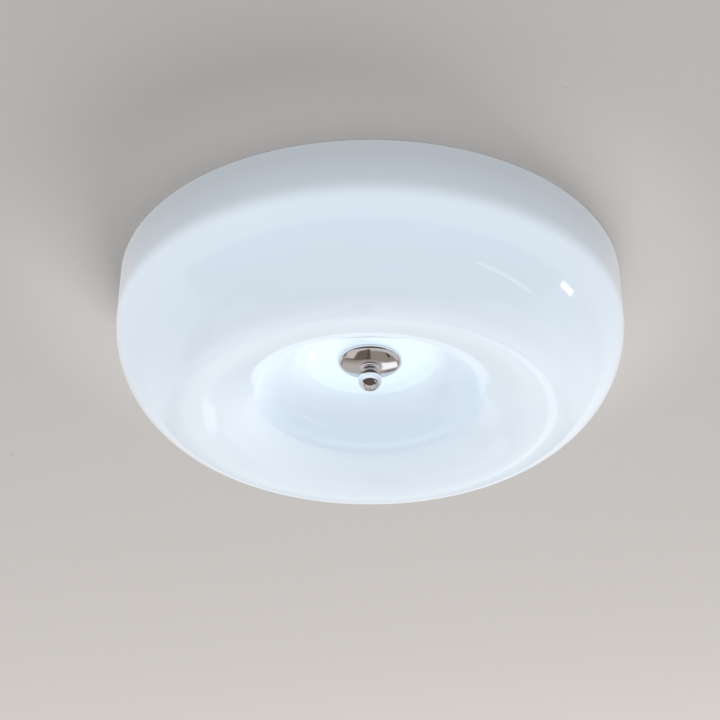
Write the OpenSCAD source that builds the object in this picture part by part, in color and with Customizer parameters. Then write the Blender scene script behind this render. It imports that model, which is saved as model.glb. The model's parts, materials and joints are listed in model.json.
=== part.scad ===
/* [Glass shade] */
// Outer diameter of the glass
shade_d = 400; // [370:1:440]
// Thickness of the blown glass
shade_t = 4.5; // [3.5:0.1:5.5]
// Gap between the ceiling and the rim of the glass
rim_gap = 1; // [0.5:0.1:3]
// Height of the straight wall
wall_h = 43.8; // [43:0.2:60]
// How far the wall leans in at its rim
wall_lean = 0.9; // [0:0.1:3]
// Radius of the shoulder below the wall
shoulder_r = 79; // [72:0.5:90]
// Slope of the glass where shoulder and crest meet
shoulder_slope = 33; // [28:0.5:40]
// Radius of the crest, the lowest stretch of the glass
crest_r = 41; // [34:0.5:50]
// Radius of the slope that rises from the crest to the dimple
rise_r = 93; // [84:0.5:104]
// Slope of the glass where the edge of the dimple begins
rise_slope = 33; // [28:0.5:38]
// Radius of the edge of the dimple
edge_r = 8; // [6.5:0.5:12]
// Steepest slope of the wall of the dimple
dimple_slope = 78; // [70:0.5:82]
// Radius of the hollow wall of the dimple
dimple_r = 37.5; // [32:0.5:40]
// Slope left where the dimple meets its floor
floor_slope = 4; // [1:0.5:8]
// Step round the flat floor of the dimple
floor_step = 0.3; // [0.1:0.1:0.6]

/* [Pan] */
// Gap between the ceiling and the pan
pan_gap = 1; // [0.5:0.1:3]
// Depth of the pan
pan_h = 38; // [36:0.5:42]
// Thickness of the pan's sheet steel
pan_t = 1; // [0.8:0.1:1.5]
// Gap between the wall of the pan and the glass
pan_side_gap = 11.5; // [6:0.5:16]
// Radius of the pan's lower corner
pan_corner_r = 6; // [3:0.5:10]
// Width of the pan's turned-in lip
pan_lip_w = 5; // [3:0.5:10]
// Distance from the wall of the pan to the rib pressed round its base
pan_rib_margin = 16; // [13:1:22]
// Radius of that rib
pan_rib_r = 2.5; // [2:0.1:3]

/* [Ceiling bar] */
// Length of the mounting bar
bar_l = 150; // [146:1:170]
// Width of the mounting bar
bar_w = 22; // [18:1:30]
// Thickness of the mounting bar
bar_t = 2; // [1.5:0.1:3]
// Distance between the slots for the ceiling screws
slot_spacing = 120; // [116:1:124]
// Length of each slot
slot_l = 16; // [10:0.5:18]
// Width of each slot
slot_w = 5; // [4:0.1:6]
// Diameter of the hole for the supply cable
cable_hole_d = 14; // [10:0.5:16]
// Distance between the two studs
stud_spacing = 84; // [80:1:92]
// Diameter of the studs
stud_d = 4; // [3.5:0.5:5]
// How far the studs reach below the pan
stud_reach = 6; // [5:0.5:7]

/* [Nuts, washers and screws] */
// Width across flats of the stud nuts
stud_nut_af = 7; // [6:0.5:8]
// Height of the stud nuts
stud_nut_h = 3.2; // [2.5:0.1:4]
// Diameter of the washers under the pan
stud_washer_d = 12; // [9:0.5:14]
// Thickness of the washers under the pan
stud_washer_t = 0.8; // [0.5:0.1:1.2]
// Width across flats of the dome nuts
cap_nut_af = 8; // [7:0.5:10]
// Height of the hexagon of a dome nut
cap_nut_h = 4; // [3:0.5:5]
// Diameter of the thread of the small screws
screw_d = 3; // [2.5:0.1:3]
// Diameter of the heads of the small screws
screw_head_d = 5.6; // [5:0.1:6]
// Height of the heads of the small screws
screw_head_h = 1.8; // [1.4:0.1:2.4]
// How far a small screw reaches through the pan
screw_reach = 2.4; // [1:0.1:3]

/* [Centre rod] */
// Thread diameter of the centre rod
rod_d = 9.9; // [8:0.1:11]
// Bore of the centre rod
rod_bore_d = 7.2; // [4:0.1:7.4]
// How far the rod stands above its upper nut
rod_stand = 1.6; // [1:0.1:4]
// Width across flats of the rod nuts
rod_nut_af = 14; // [13:0.5:16]
// Height of the rod nuts
rod_nut_h = 3.2; // [2.5:0.1:5]
// Diameter of the rod washers
rod_washer_d = 20; // [17:0.5:24]
// Thickness of the rod washers
rod_washer_t = 1; // [0.8:0.1:1.5]
// Height of the stop nut above the glass floor
stop_nut_h = 5; // [4:0.5:8]

/* [Glass fixing] */
// Diameter of the hole in the glass
glass_hole_d = 13.4; // [13:0.1:15]
// Diameter of the flange of the sleeve in the glass
bush_flange_d = 18; // [16:0.5:20]
// Thickness of that flange
bush_flange_t = 1.2; // [0.8:0.1:1.4]
// Outer diameter of the gasket above the glass
inner_gasket_d = 50; // [44:1:60]
// Thickness of the gasket above the glass
inner_gasket_t = 1.5; // [1.5:0.1:2.5]
// Diameter of the steel plate above the gasket
inner_plate_d = 56; // [50:1:64]
// Thickness of that plate
inner_plate_t = 1.2; // [0.8:0.1:2]
// Thickness of the gasket between glass and cap
cap_gasket_t = 1.5; // [1:0.1:2.5]

/* [Cap] */
// Diameter of the chrome cap
cap_d = 50.4; // [46:0.2:60]
// Thickness of the cap's metal
cap_t = 0.8; // [0.6:0.1:1]
// Radius of the cap's edge, where it turns in over the gasket
cap_rim_r = 1.5; // [1:0.1:2]
// Slope where that edge runs into the cap's shoulder
cap_rim_slope = 42; // [35:1:50]
// Radius of the cap's shoulder
cap_shoulder_r = 7; // [6:0.1:8]
// Slope of the cap inside its shoulder
cap_slope = 5; // [4:0.5:8]
// Diameter of the flat seat in the middle of the cap
cap_seat_d = 14; // [14:0.5:18]

/* [Finial] */
// Diameter of the washer between cap and finial
finial_washer_d = 13.4; // [12.6:0.1:14]
// Thickness of that washer
finial_washer_t = 0.6; // [0.4:0.1:1]
// Diameter of the bead at the neck
bead_d = 15; // [14:0.2:16]
// Height of that bead
bead_h = 2.8; // [2:0.1:3.4]
// Diameter of the ball
ball_d = 18.8; // [18:0.2:22]
// Distance from the finial's top face to the centre of the ball
ball_drop = 11.9; // [11:0.1:13]
// Length of rod inside the finial
thread_l = 9.3; // [8:0.1:9.6]
// Room left between the rod and the end of its hole
thread_end_gap = 1.2; // [1:0.1:2]

/* [LED ring] */
// Distance from the wall of the pan to the edge of the LED board
board_margin = 28; // [26:1:32]
// Width of the ring-shaped LED board
board_w = 76; // [72:1:78]
// Thickness of the LED board
board_t = 1.5; // [1:0.1:2]
// Distance from the outer edge of the board to the outer ring of LEDs
ring_margin = 16; // [12:1:18]
// Number of LEDs in the outer ring
outer_ring_n = 24; // [12:1:36]
// Distance between the two rings of LEDs
ring_spacing = 35; // [33:1:37]
// Number of LEDs in the inner ring
inner_ring_n = 18; // [9:1:18]
// Length of an LED chip
chip_l = 3.5; // [3:0.1:3.6]
// Width of an LED chip
chip_w = 2.8; // [2:0.1:3]
// Height of an LED chip
chip_h = 0.7; // [0.5:0.1:1]
// Diameter of a lens
lens_d = 13; // [12:0.2:14]
// Height of a lens
lens_h = 5.2; // [4.6:0.1:6]
// Thickness of the flange of a lens
lens_flange_t = 1; // [0.6:0.1:1.2]
// Diameter of the hollow under a lens
lens_hollow_d = 5.6; // [5.2:0.1:7]
// Number of board screws
board_screw_n = 6; // [4:1:8]

/* [Driver] */
// Gap between the driver and the circle of board screws
driver_gap = 5.5; // [4.5:0.5:8]
// Length of the driver case
driver_l = 110; // [104:1:112]
// Width of the driver case
driver_w = 44; // [42:1:48]
// Height of the driver case without its lid
driver_h = 18; // [17:0.5:20]
// Height of the driver's lid
driver_lid_h = 5; // [4:0.5:6]
// Wall of the driver case and its lid
driver_wall = 1.6; // [1.2:0.1:2]
// Length of an ear of the driver case
ear_l = 13; // [12:0.5:14]
// Width of an ear of the driver case
ear_w = 14; // [10:0.5:18]
// Thickness of an ear of the driver case
ear_t = 2.5; // [2:0.1:4]
// Height of the driver's circuit board above its floor
driver_board_lift = 4; // [3:0.5:5]
// Length of the driver's circuit board
driver_board_l = 90; // [80:1:92]
// Width of the driver's circuit board
driver_board_w = 34; // [32:1:36]
// Thickness of the driver's circuit board
driver_board_t = 1.6; // [1:0.1:2]
// Diameter of the screw posts inside the driver
post_d = 5.4; // [5:0.1:6]
// How far the screw posts sink into the walls of the case
post_bite = 0.8; // [0.4:0.1:1.2]
// Diameter of the lid screws
lid_screw_d = 2.2; // [2:0.1:2.4]
// How far the lid screws reach below the lid
lid_screw_reach = 8; // [6:0.5:10]
// Height of the heads of the lid screws
lid_screw_head_h = 1.4; // [1:0.1:1.8]

/* [Terminal block and earth] */
// Place of the terminal block, sideways and forward
terminal_pos = [-52, 34];
// Distance between two poles
pole_pitch = 10; // [9.5:0.1:10.5]
// Number of poles
pole_n = 3; // [3:1:3]
// Length of the terminal block along a pole
terminal_l = 20; // [19:0.5:24]
// Height of the terminal block
terminal_h = 15; // [13:0.5:17]
// Height of the terminal block's base
terminal_base_h = 10; // [9.5:0.1:11]
// Height of the poles' axes above the pan
pole_h = 6; // [5:0.5:6]
// Outer diameter of a brass insert
insert_d = 5; // [4.6:0.1:5.2]
// Bore of a brass insert
insert_bore_d = 3.2; // [2.8:0.1:3.4]
// Diameter of the towers over the clamping screws
tower_d = 7.2; // [6:0.1:7.6]
// Diameter of the clamping screws
clamp_screw_d = 2.5; // [2:0.1:2.6]
// Diameter of the heads of the clamping screws
clamp_head_d = 3.6; // [3.4:0.1:4]
// Place of the earth stud, sideways and forward
earth_pos = [-112, 50];
// Height of the earth stud
earth_stud_h = 13; // [10:0.5:16]
// Outer diameter of the earth tag
lug_d = 9; // [8:0.5:11]
// Thickness of the earth tag
lug_t = 0.8; // [0.6:0.1:1]
// Length of the barrel of the earth tag
lug_barrel_l = 6; // [5:0.5:8]
// Outer diameter of that barrel
lug_barrel_d = 3.8; // [3.6:0.1:4]

/* [Leads] */
// Diameter of the supply leads
lead_d = 2.4; // [2:0.1:2.4]
// Diameter of the LED leads
led_lead_d = 1.6; // [1.2:0.1:1.7]
// Distance from the inner edge of the LED board to the axis of the lead grommet
grommet_margin = 14; // [12:1:14]
// Diameter of the hole for the grommet
grommet_hole_d = 9; // [8.6:0.1:10]
// Diameter of the grommet's flanges
grommet_flange_d = 12; // [11:0.5:13]
// Thickness of the grommet's flanges
grommet_flange_t = 1.5; // [1:0.1:2]
// Bore of the grommet
grommet_bore_d = 5.2; // [5:0.1:6]
// Outer length, width and height of the socket on the LED board
socket_size = [9, 11, 5.2];
// Distance from the inner edge of the LED board to that socket
socket_margin = 5; // [4:0.5:8]
// Wall of that socket
socket_wall = 1.1; // [0.8:0.1:1.2]
// How far the plug stands out of the socket
plug_stand = 2; // [1.5:0.1:3]

/* [Fits] */
// Gap between two pieces that come apart
seat_gap = 0.1; // [0.05:0.01:0.2]
// Radial gap between a thread and its hole
thread_gap = 0.05; // [0.03:0.01:0.1]
// Radial gap round the rod where pieces slide along it
slide_gap = 0.25; // [0.15:0.05:0.4]
// Radial gap of a hole that a screw passes through
pass_gap = 0.3; // [0.2:0.05:0.5]

/* [Hidden] */
$fn = 96;
// Depths are counted downwards from the ceiling, so a piece at depth d lies at height -d.
// An outline is a chain of [radius, depth, slope], where slope 90 runs straight down,
// 0 runs level towards the axis and a negative slope rises towards the axis.
function last(chain) = chain[len(chain) - 1];
// An arc that goes on from point p to slope a1. A negative radius bends it hollow.
function arc(p, r, a1, n) = [
    for (i = [1:n])
        let (a = p.z + (a1 - p.z) * i / n)
            [p.x + r * (sin(a) - sin(p.z)), p.y + r * (cos(a) - cos(p.z)), a]
];
// The outline of a wall of thickness t that lies behind a chain
function wall_outline(chain, t) = concat(
    [for (p = chain) [p.x, -p.y]],
    [for (i = [len(chain) - 1:-1:0]) [chain[i].x - t * sin(chain[i].z), t * cos(chain[i].z) - chain[i].y]]
);

shade_r = shade_d / 2;
rim_r = shade_r - wall_lean;
wall_end_depth = rim_gap + wall_h;
shoulder = arc([shade_r, wall_end_depth, 90], shoulder_r, shoulder_slope, 16);
crest = arc(last(shoulder), crest_r, 0, 10);
rise = arc(last(crest), rise_r, -rise_slope, 12);
edge = arc(last(rise), edge_r, -dimple_slope, 8);
dimple = arc(last(edge), -dimple_r, -floor_slope, 18);
floor_depth = last(dimple).y - floor_step;
floor_r = last(dimple).x - floor_step;
inner_floor_depth = floor_depth - shade_t;

rod_pass_r = rod_d / 2 + slide_gap;
rod_thread_r = rod_d / 2 + thread_gap;
stud_thread_r = stud_d / 2 + thread_gap;
stud_pass_r = stud_d / 2 + pass_gap;
screw_thread_r = screw_d / 2 + thread_gap;
screw_pass_r = screw_d / 2 + pass_gap;
stud_x = stud_spacing / 2;

pan_r = shade_r - shade_t - pan_side_gap;
pan_face_depth = pan_gap + pan_h;
pan_seat_depth = pan_face_depth - pan_t;
pan_rib_d = 2 * (pan_r - pan_rib_margin);
board_outer_d = 2 * (pan_r - board_margin);
board_inner_d = board_outer_d - 2 * board_w;
board_face_depth = pan_face_depth + board_t;
outer_ring_d = board_outer_d - 2 * ring_margin;
inner_ring_d = outer_ring_d - 2 * ring_spacing;
board_screw_pcd = outer_ring_d - ring_spacing;
board_screw_phase = 30;
grommet_x = board_inner_d / 2 - grommet_margin;

gasket_top_depth = floor_depth + seat_gap;
cap_top_depth = gasket_top_depth + cap_gasket_t;
cap_rim = arc([cap_d / 2, cap_top_depth, 90], cap_rim_r, cap_rim_slope, 5);
cap_shoulder = arc(last(cap_rim), cap_shoulder_r, cap_slope, 8);
cap_seat_slope = 0.5;
cap_dish_r = (last(cap_shoulder).x - cap_seat_d / 2) / (sin(cap_slope) - sin(cap_seat_slope));
cap_dish = arc(last(cap_shoulder), cap_dish_r, cap_seat_slope, 12);
cap_seat_depth = last(cap_dish).y;
finial_washer_depth = cap_seat_depth + seat_gap;
finial_depth = finial_washer_depth + finial_washer_t + seat_gap;
rod_end_depth = finial_depth + thread_l;
rod_top_depth = pan_seat_depth - rod_washer_t - rod_nut_h - rod_stand;
inner_plate_depth = inner_floor_depth - inner_gasket_t - inner_plate_t;

driver_pos = [0, board_screw_pcd / 2 - driver_gap - driver_w / 2];
driver_inner_l = driver_l - 2 * driver_wall;
driver_inner_w = driver_w - 2 * driver_wall;
driver_top_depth = pan_seat_depth - driver_h - driver_lid_h;
driver_board_depth = pan_seat_depth - driver_wall - driver_board_lift - driver_board_t;
post_x = driver_inner_l / 2 - post_d / 2 + post_bite;
post_y = driver_inner_w / 2 - post_d / 2 + post_bite;
ear_hole_x = driver_l / 2 + ear_l / 2;
driver_lead_h = 10;
// Size of the transformer's core, and its place along the driver's board
transformer_core = [16, 16, 12];
transformer_x = -8;
// Place along and across the driver's board, diameter and height of each capacitor
capacitors = [[-30, 6, 10, 13], [-30, -8, 8, 11], [22, 0, 10, 12], [34, -6, 8, 11]];
terminal_w = pole_n * pole_pitch;
tower_y = terminal_l / 4;
clamp_y = tower_y;
fixing_x = pole_pitch / 2;
plug_depth = board_face_depth + socket_size.z / 2;
socket_x = board_inner_d / 2 + socket_margin;
plug_side = socket_size.y - 2 * socket_wall - 2 * seat_gap;
plug_h = socket_size.z - 2 * socket_wall - 2 * seat_gap;
plug_l = socket_size.x - socket_wall + plug_stand - seat_gap;
lead_lane = 1.1;

// Routes of the leads, chosen by hand
live_route = [
    [-52, 38, -32], [-52, 47, -32], [-60, 60, -33], [-76, 70, -33],
    [-87, 82, -31], [-86, 96, -29], [-75, 100, -28], [-62, 100, -28], [-53, 100, -28]
];
neutral_route = [
    [-42, 38, -32], [-42, 47, -32], [-47, 58, -33], [-60, 65, -33],
    [-73, 71, -31], [-77, 81, -29], [-71, 89, -28], [-62, 90, -28], [-53, 90, -28]
];
earth_route = [
    [-62, 38, -32], [-62, 46, -32], [-66, 54, -34], [-75, 56, -36], [-84, 52, -36],
    [-94, 50, -36], [-104, 50, -36]
];
red_route = [
    [53, 93, -28], [61, 93, -28], [76, 89, -32], [84, 76, -36.8], [84, 54, -37],
    [79, 32, -37], [70, 10, -34], [65, 1, -34], [65, 0, -39],
    [67.5, -0.8, -43], [76, -1.1, -43], [85, -1.1, -43]
];
black_route = [
    [53, 97, -28], [61, 97, -28], [79, 92, -32], [87, 78, -36.8], [87, 54, -37],
    [82, 30, -37], [73, 10, -34], [67.2, 1, -34], [67.2, 0, -39],
    [69.6, 0.8, -41.8], [77, 1.1, -43], [85, 1.1, -43]
];

// A point on the smooth curve through p1 and p2, a share t of the way
function blend(p0, p1, p2, p3, t) = 0.5 * (
    2 * p1 + (p2 - p0) * t + (2 * p0 - 5 * p1 + 4 * p2 - p3) * t * t
    + (3 * p1 - p0 - 3 * p2 + p3) * t * t * t
);
function smooth(route, n) = concat(
    [
        for (i = [0:len(route) - 2], k = [0:n - 1])
            blend(
                route[max(i - 1, 0)], route[i], route[i + 1],
                route[min(i + 2, len(route) - 1)], k / n
            )
    ],
    [last(route)]
);
function unit(v) = v / norm(v);
function heading(path, i) = unit(path[min(i + 1, len(path) - 1)] - path[max(i - 1, 0)]);
function square_to(v, t) = unit(v - (v * t) * t);
// Side vectors carried along the path, so that the tube doesn't twist
function sides(path) = [
    for (
        i = 0, s = square_to([0.1, 0.2, 1], heading(path, 0));
        i < len(path);
        i = i + 1, s = i < len(path) ? square_to(s, heading(path, i)) : s
    ) s
];

module lead(route, d, turns = 8) {
    path = smooth(route, 2);
    side = sides(path);
    count = len(path);
    points = [
        for (i = [0:count - 1], k = [0:turns - 1])
            let (t = heading(path, i), s = side[i], a = 360 * k / turns)
                path[i] + d / 2 * (cos(a) * s + sin(a) * cross(t, s))
    ];
    walls = [
        for (i = [0:count - 2], k = [0:turns - 1])
            let (k2 = (k + 1) % turns, a = i * turns, b = a + turns)
                each [[a + k, b + k, b + k2], [a + k, b + k2, a + k2]]
    ];
    start = [for (k = [0:turns - 1]) k];
    end = [for (k = [turns - 1:-1:0]) (count - 1) * turns + k];
    polyhedron(points, concat(walls, [start], [end]));
}

module at_depth(d) {
    translate([0, 0, -d]) children();
}
module at_pan(pos) {
    translate([pos.x, pos.y, -pan_seat_depth]) children();
}
// A flat ring that hangs down from its origin by h
module ring(d, bore, h) {
    translate([0, 0, -h]) difference() {
        cylinder(d = d, h = h);
        translate([0, 0, -1]) cylinder(d = bore, h = h + 2);
    }
}
module torus(d, r) {
    rotate_extrude($fn = 180) translate([d / 2, 0]) circle(r = r);
}
// A hexagon with eased corners that hangs down from its origin
module hexagon(af, h) {
    translate([0, 0, -h]) intersection() {
        cylinder(d = af / cos(30), h = h, $fn = 6);
        cylinder(d = af / cos(30) - 0.5, h = h);
    }
}
module hex_nut(af, bore_r, h) {
    difference() {
        hexagon(af, h);
        translate([0, 0, -h - 1]) cylinder(r = bore_r, h = h + 2);
    }
}
// A cross-head screw whose head stands on its origin and whose shank runs down
module screw(d, l, head_d, head_h) {
    recess = head_d / 2;
    difference() {
        union() {
            translate([0, 0, -l]) cylinder(d = d, h = l);
            intersection() {
                cylinder(d = head_d, h = head_h);
                translate([0, 0, head_h - head_d]) sphere(r = head_d);
            }
        }
        for (a = [0, 90])
            rotate([0, 0, a]) translate([0, 0, head_h]) cube([recess, head_d / 8, head_h], center = true);
    }
}
module at_studs() {
    for (side = [-1, 1])
        translate([side * stud_x, 0, 0]) children();
}
module at_board_screws() {
    for (i = [0:board_screw_n - 1])
        rotate([0, 0, board_screw_phase + 360 * i / board_screw_n]) translate([board_screw_pcd / 2, 0, 0]) children();
}
module at_driver_screws() {
    for (side = [-1, 1])
        translate([driver_pos.x + side * ear_hole_x, driver_pos.y, 0]) children();
}
module at_fixing_screws() {
    for (side = [-1, 1])
        translate([terminal_pos.x + side * fixing_x, terminal_pos.y, 0]) children();
}
module at_leds() {
    for (i = [0:outer_ring_n - 1])
        rotate([0, 0, 360 * (i + 0.5) / outer_ring_n]) translate([outer_ring_d / 2, 0, 0]) children();
    for (i = [0:inner_ring_n - 1])
        rotate([0, 0, 360 * (i + 0.5) / inner_ring_n]) translate([inner_ring_d / 2, 0, 0]) children();
}
module at_poles() {
    for (i = [0:pole_n - 1])
        at_pan(terminal_pos) translate([(i - (pole_n - 1) / 2) * pole_pitch, 0, 0]) children();
}
module at_clamps() {
    at_poles() for (side = [-1, 1])
        translate([0, side * clamp_y, 0]) children();
}
module at_posts() {
    for (side = [-1, 1])
        at_pan(driver_pos) translate([side * post_x, side * post_y, 0]) children();
}

module mounting_bar() {
    corner_r = 3;
    color("silver") difference() {
        union() {
            translate([-bar_l / 2 + corner_r, -bar_w / 2, -bar_t]) cube([bar_l - 2 * corner_r, bar_w, bar_t]);
            translate([-bar_l / 2, -bar_w / 2 + corner_r, -bar_t]) cube([bar_l, bar_w - 2 * corner_r, bar_t]);
            for (x = [-1, 1], y = [-1, 1])
                translate([x * (bar_l / 2 - corner_r), y * (bar_w / 2 - corner_r), -bar_t])
                    cylinder(r = corner_r, h = bar_t);
        }
        translate([0, 0, -bar_t - 1]) cylinder(d = cable_hole_d, h = bar_t + 2);
        at_studs() translate([0, 0, -bar_t - 1]) cylinder(r = stud_thread_r, h = bar_t + 2);
        for (side = [-1, 1])
            translate([side * slot_spacing / 2, 0, -bar_t - 1]) {
                translate([-(slot_l - slot_w) / 2, -slot_w / 2, 0]) cube([slot_l - slot_w, slot_w, bar_t + 2]);
                for (end = [-1, 1])
                    translate([end * (slot_l - slot_w) / 2, 0, 0]) cylinder(d = slot_w, h = bar_t + 2);
            }
    }
}

module bar_studs() {
    top_depth = 0.3;
    color("gainsboro") at_studs() at_depth(pan_face_depth + stud_reach)
        cylinder(d = stud_d, h = pan_face_depth + stud_reach - top_depth);
}

module stud_nuts() {
    color("gainsboro") at_studs() at_depth(bar_t) hex_nut(stud_nut_af, stud_thread_r, stud_nut_h);
}

module stud_washers() {
    color("silver") at_studs() at_depth(pan_face_depth) ring(stud_washer_d, 2 * stud_pass_r, stud_washer_t);
}

module cap_nuts() {
    dome_r = cap_nut_af / 2 - 0.4;
    hole_l = stud_reach - stud_washer_t + 0.5;
    color("silver") at_studs() at_depth(pan_face_depth + stud_washer_t) difference() {
        union() {
            hexagon(cap_nut_af, cap_nut_h);
            translate([0, 0, -cap_nut_h]) sphere(r = dome_r);
        }
        translate([0, 0, -hole_l]) cylinder(r = stud_thread_r, h = hole_l + 1);
    }
}

module chassis_pan() {
    chain = concat(
        [[pan_r, pan_gap, 90]],
        [[pan_r, pan_face_depth - pan_corner_r, 90]],
        arc([pan_r, pan_face_depth - pan_corner_r, 90], pan_corner_r, 0, 8),
        [[rod_pass_r, pan_face_depth, 0]]
    );
    color("whitesmoke") difference() {
        union() {
            rotate_extrude($fn = 180) polygon(wall_outline(chain, pan_t));
            at_depth(pan_gap) ring(2 * pan_r - pan_t, 2 * (pan_r - pan_lip_w), pan_t);
            at_depth(pan_seat_depth) torus(pan_rib_d, pan_rib_r);
        }
        at_depth(pan_seat_depth) {
            torus(pan_rib_d, pan_rib_r - pan_t);
            translate([0, 0, 2 * pan_rib_r])
                ring(pan_rib_d + 3 * pan_rib_r, pan_rib_d - 3 * pan_rib_r, 2 * pan_rib_r);
        }
        at_depth(pan_face_depth + 1) {
            at_studs() cylinder(r = stud_pass_r, h = pan_t + 2);
            at_board_screws() cylinder(r = screw_thread_r, h = pan_t + 2);
            at_driver_screws() cylinder(r = screw_thread_r, h = pan_t + 2);
            at_fixing_screws() cylinder(r = screw_thread_r, h = pan_t + 2);
            translate([grommet_x, 0, 0]) cylinder(d = grommet_hole_d, h = pan_t + 2);
        }
    }
}

module earth_stud() {
    color("gainsboro") at_pan(earth_pos) cylinder(d = stud_d, h = earth_stud_h);
}

module earth_lug() {
    barrel_x = lug_d / 2 + 1;
    neck_w = lug_barrel_d - 1;
    color("goldenrod") at_pan(earth_pos) difference() {
        union() {
            cylinder(d = lug_d, h = lug_t);
            translate([0, -neck_w / 2, 0]) cube([barrel_x + 1, neck_w, lug_t]);
            translate([barrel_x, 0, lug_barrel_d / 2]) rotate([0, 90, 0])
                cylinder(d = lug_barrel_d, h = lug_barrel_l);
        }
        translate([0, 0, -1]) cylinder(r = stud_pass_r, h = lug_t + 2);
        translate([barrel_x - 1, 0, lug_barrel_d / 2]) rotate([0, 90, 0])
            cylinder(d = lead_d + 2 * thread_gap, h = lug_barrel_l + 2);
    }
}

module earth_nut() {
    flange_h = 1;
    color("gainsboro") at_pan(earth_pos) translate([0, 0, lug_t + stud_nut_h + flange_h]) {
        hex_nut(stud_nut_af, stud_thread_r, stud_nut_h);
        translate([0, 0, -stud_nut_h]) ring(lug_d - 0.4, 2 * stud_thread_r, flange_h);
    }
}

module terminal_block() {
    color("ivory") difference() {
        union() {
            at_pan(terminal_pos) translate([-terminal_w / 2, -terminal_l / 2, 0])
                cube([terminal_w, terminal_l, terminal_base_h]);
            at_clamps() cylinder(d = tower_d, h = terminal_h);
            at_poles() translate([-tower_d / 2, -tower_y, 0]) cube([tower_d, 2 * tower_y, terminal_h - 2]);
        }
        at_poles() translate([0, -terminal_l / 2 - 1, pole_h]) rotate([-90, 0, 0])
            cylinder(d = insert_d + 2 * thread_gap, h = terminal_l + 2);
        at_clamps() translate([0, 0, pole_h]) cylinder(d = clamp_head_d + 0.4, h = terminal_h);
        at_fixing_screws() at_depth(pan_seat_depth + 1) cylinder(r = screw_pass_r, h = terminal_h);
        at_fixing_screws() at_depth(pan_seat_depth - terminal_base_h)
            cylinder(d = screw_head_d + 0.6, h = terminal_h);
    }
}

module terminal_inserts() {
    insert_l = terminal_l - 2;
    color("goldenrod") difference() {
        at_poles() translate([0, -insert_l / 2, pole_h]) rotate([-90, 0, 0]) cylinder(d = insert_d, h = insert_l);
        at_poles() translate([0, -insert_l / 2 - 1, pole_h]) rotate([-90, 0, 0])
            cylinder(d = insert_bore_d, h = insert_l + 2);
        at_clamps() translate([0, 0, pole_h]) cylinder(d = clamp_screw_d + 2 * thread_gap, h = insert_d);
    }
}

module terminal_screws() {
    tip_h = pole_h + lead_d / 2 + seat_gap;
    head_h = terminal_h - 3.5;
    color("silver") at_clamps() translate([0, 0, head_h]) difference() {
        union() {
            cylinder(d = clamp_head_d, h = 2);
            translate([0, 0, tip_h - head_h]) cylinder(d = clamp_screw_d, h = head_h - tip_h);
        }
        translate([0, 0, 2]) cube([clamp_head_d + 1, 0.7, 2], center = true);
    }
}

module terminal_fixing_screws() {
    color("silver") at_fixing_screws() at_depth(pan_seat_depth - terminal_base_h)
        screw(screw_d, terminal_base_h + pan_t + screw_reach, screw_head_d, screw_head_h);
}

module driver_case() {
    rail_w = 2;
    color("white") difference() {
        union() {
            at_pan(driver_pos) difference() {
                translate([-driver_l / 2, -driver_w / 2, 0]) cube([driver_l, driver_w, driver_h]);
                translate([-driver_inner_l / 2, -driver_inner_w / 2, driver_wall])
                    cube([driver_inner_l, driver_inner_w, driver_h]);
            }
            at_pan(driver_pos) for (side = [-1, 1]) {
                translate([side * ear_hole_x - ear_l / 2, -ear_w / 2, 0]) cube([ear_l, ear_w, ear_t]);
                translate([side * driver_board_l / 4 - rail_w / 2, -driver_board_w / 2, 0])
                    cube([rail_w, driver_board_w, driver_wall + driver_board_lift]);
            }
            at_posts() cylinder(d = post_d, h = driver_h);
        }
        at_posts() translate([0, 0, driver_wall]) cylinder(r = lid_screw_d / 2 + thread_gap, h = driver_h);
        at_driver_screws() at_depth(pan_seat_depth + 1) cylinder(r = screw_pass_r, h = ear_t + 2);
        at_pan(driver_pos) translate([0, 0, driver_lead_h]) {
            for (y = [-5, 5])
                translate([-driver_l / 2 - 1, y, 0]) rotate([0, 90, 0])
                    cylinder(r = lead_d / 2 + pass_gap, h = driver_wall + 2);
            for (y = [-2, 2])
                translate([driver_l / 2 + 1, y, 0]) rotate([0, -90, 0])
                    cylinder(r = led_lead_d / 2 + pass_gap, h = driver_wall + 2);
        }
    }
}

module driver_lid() {
    post_cut = 8;
    lip_h = 2;
    lip_l = driver_inner_l - 2 * seat_gap;
    lip_w = driver_inner_w - 2 * seat_gap;
    color("white") difference() {
        at_depth(driver_top_depth + driver_lid_h) translate([driver_pos.x, driver_pos.y, 0]) difference() {
            union() {
                translate([-driver_l / 2, -driver_w / 2, 0]) cube([driver_l, driver_w, driver_lid_h]);
                translate([-lip_l / 2, -lip_w / 2, -lip_h]) cube([lip_l, lip_w, lip_h + 1]);
            }
            translate([-lip_l / 2 + 1, -lip_w / 2 + 1, -lip_h - 1])
                cube([lip_l - 2, lip_w - 2, driver_lid_h - driver_wall + lip_h + 1]);
            for (side = [-1, 1])
                translate([side * post_x - post_cut / 2, side * post_y - post_cut / 2, -lip_h - 1])
                    cube([post_cut, post_cut, lip_h + 1]);
        }
        at_posts() cylinder(r = lid_screw_d / 2 + pass_gap, h = driver_h + driver_lid_h + 1);
    }
}

module driver_lid_screws() {
    color("silver") at_posts() translate([0, 0, driver_h + driver_lid_h])
        screw(lid_screw_d, driver_lid_h + lid_screw_reach, 2 * lid_screw_d, lid_screw_head_h);
}

module driver_board() {
    color("darkgreen") at_depth(driver_board_depth + driver_board_t)
        translate([driver_pos.x - driver_board_l / 2, driver_pos.y - driver_board_w / 2, 0])
            cube([driver_board_l, driver_board_w, driver_board_t]);
}

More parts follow.
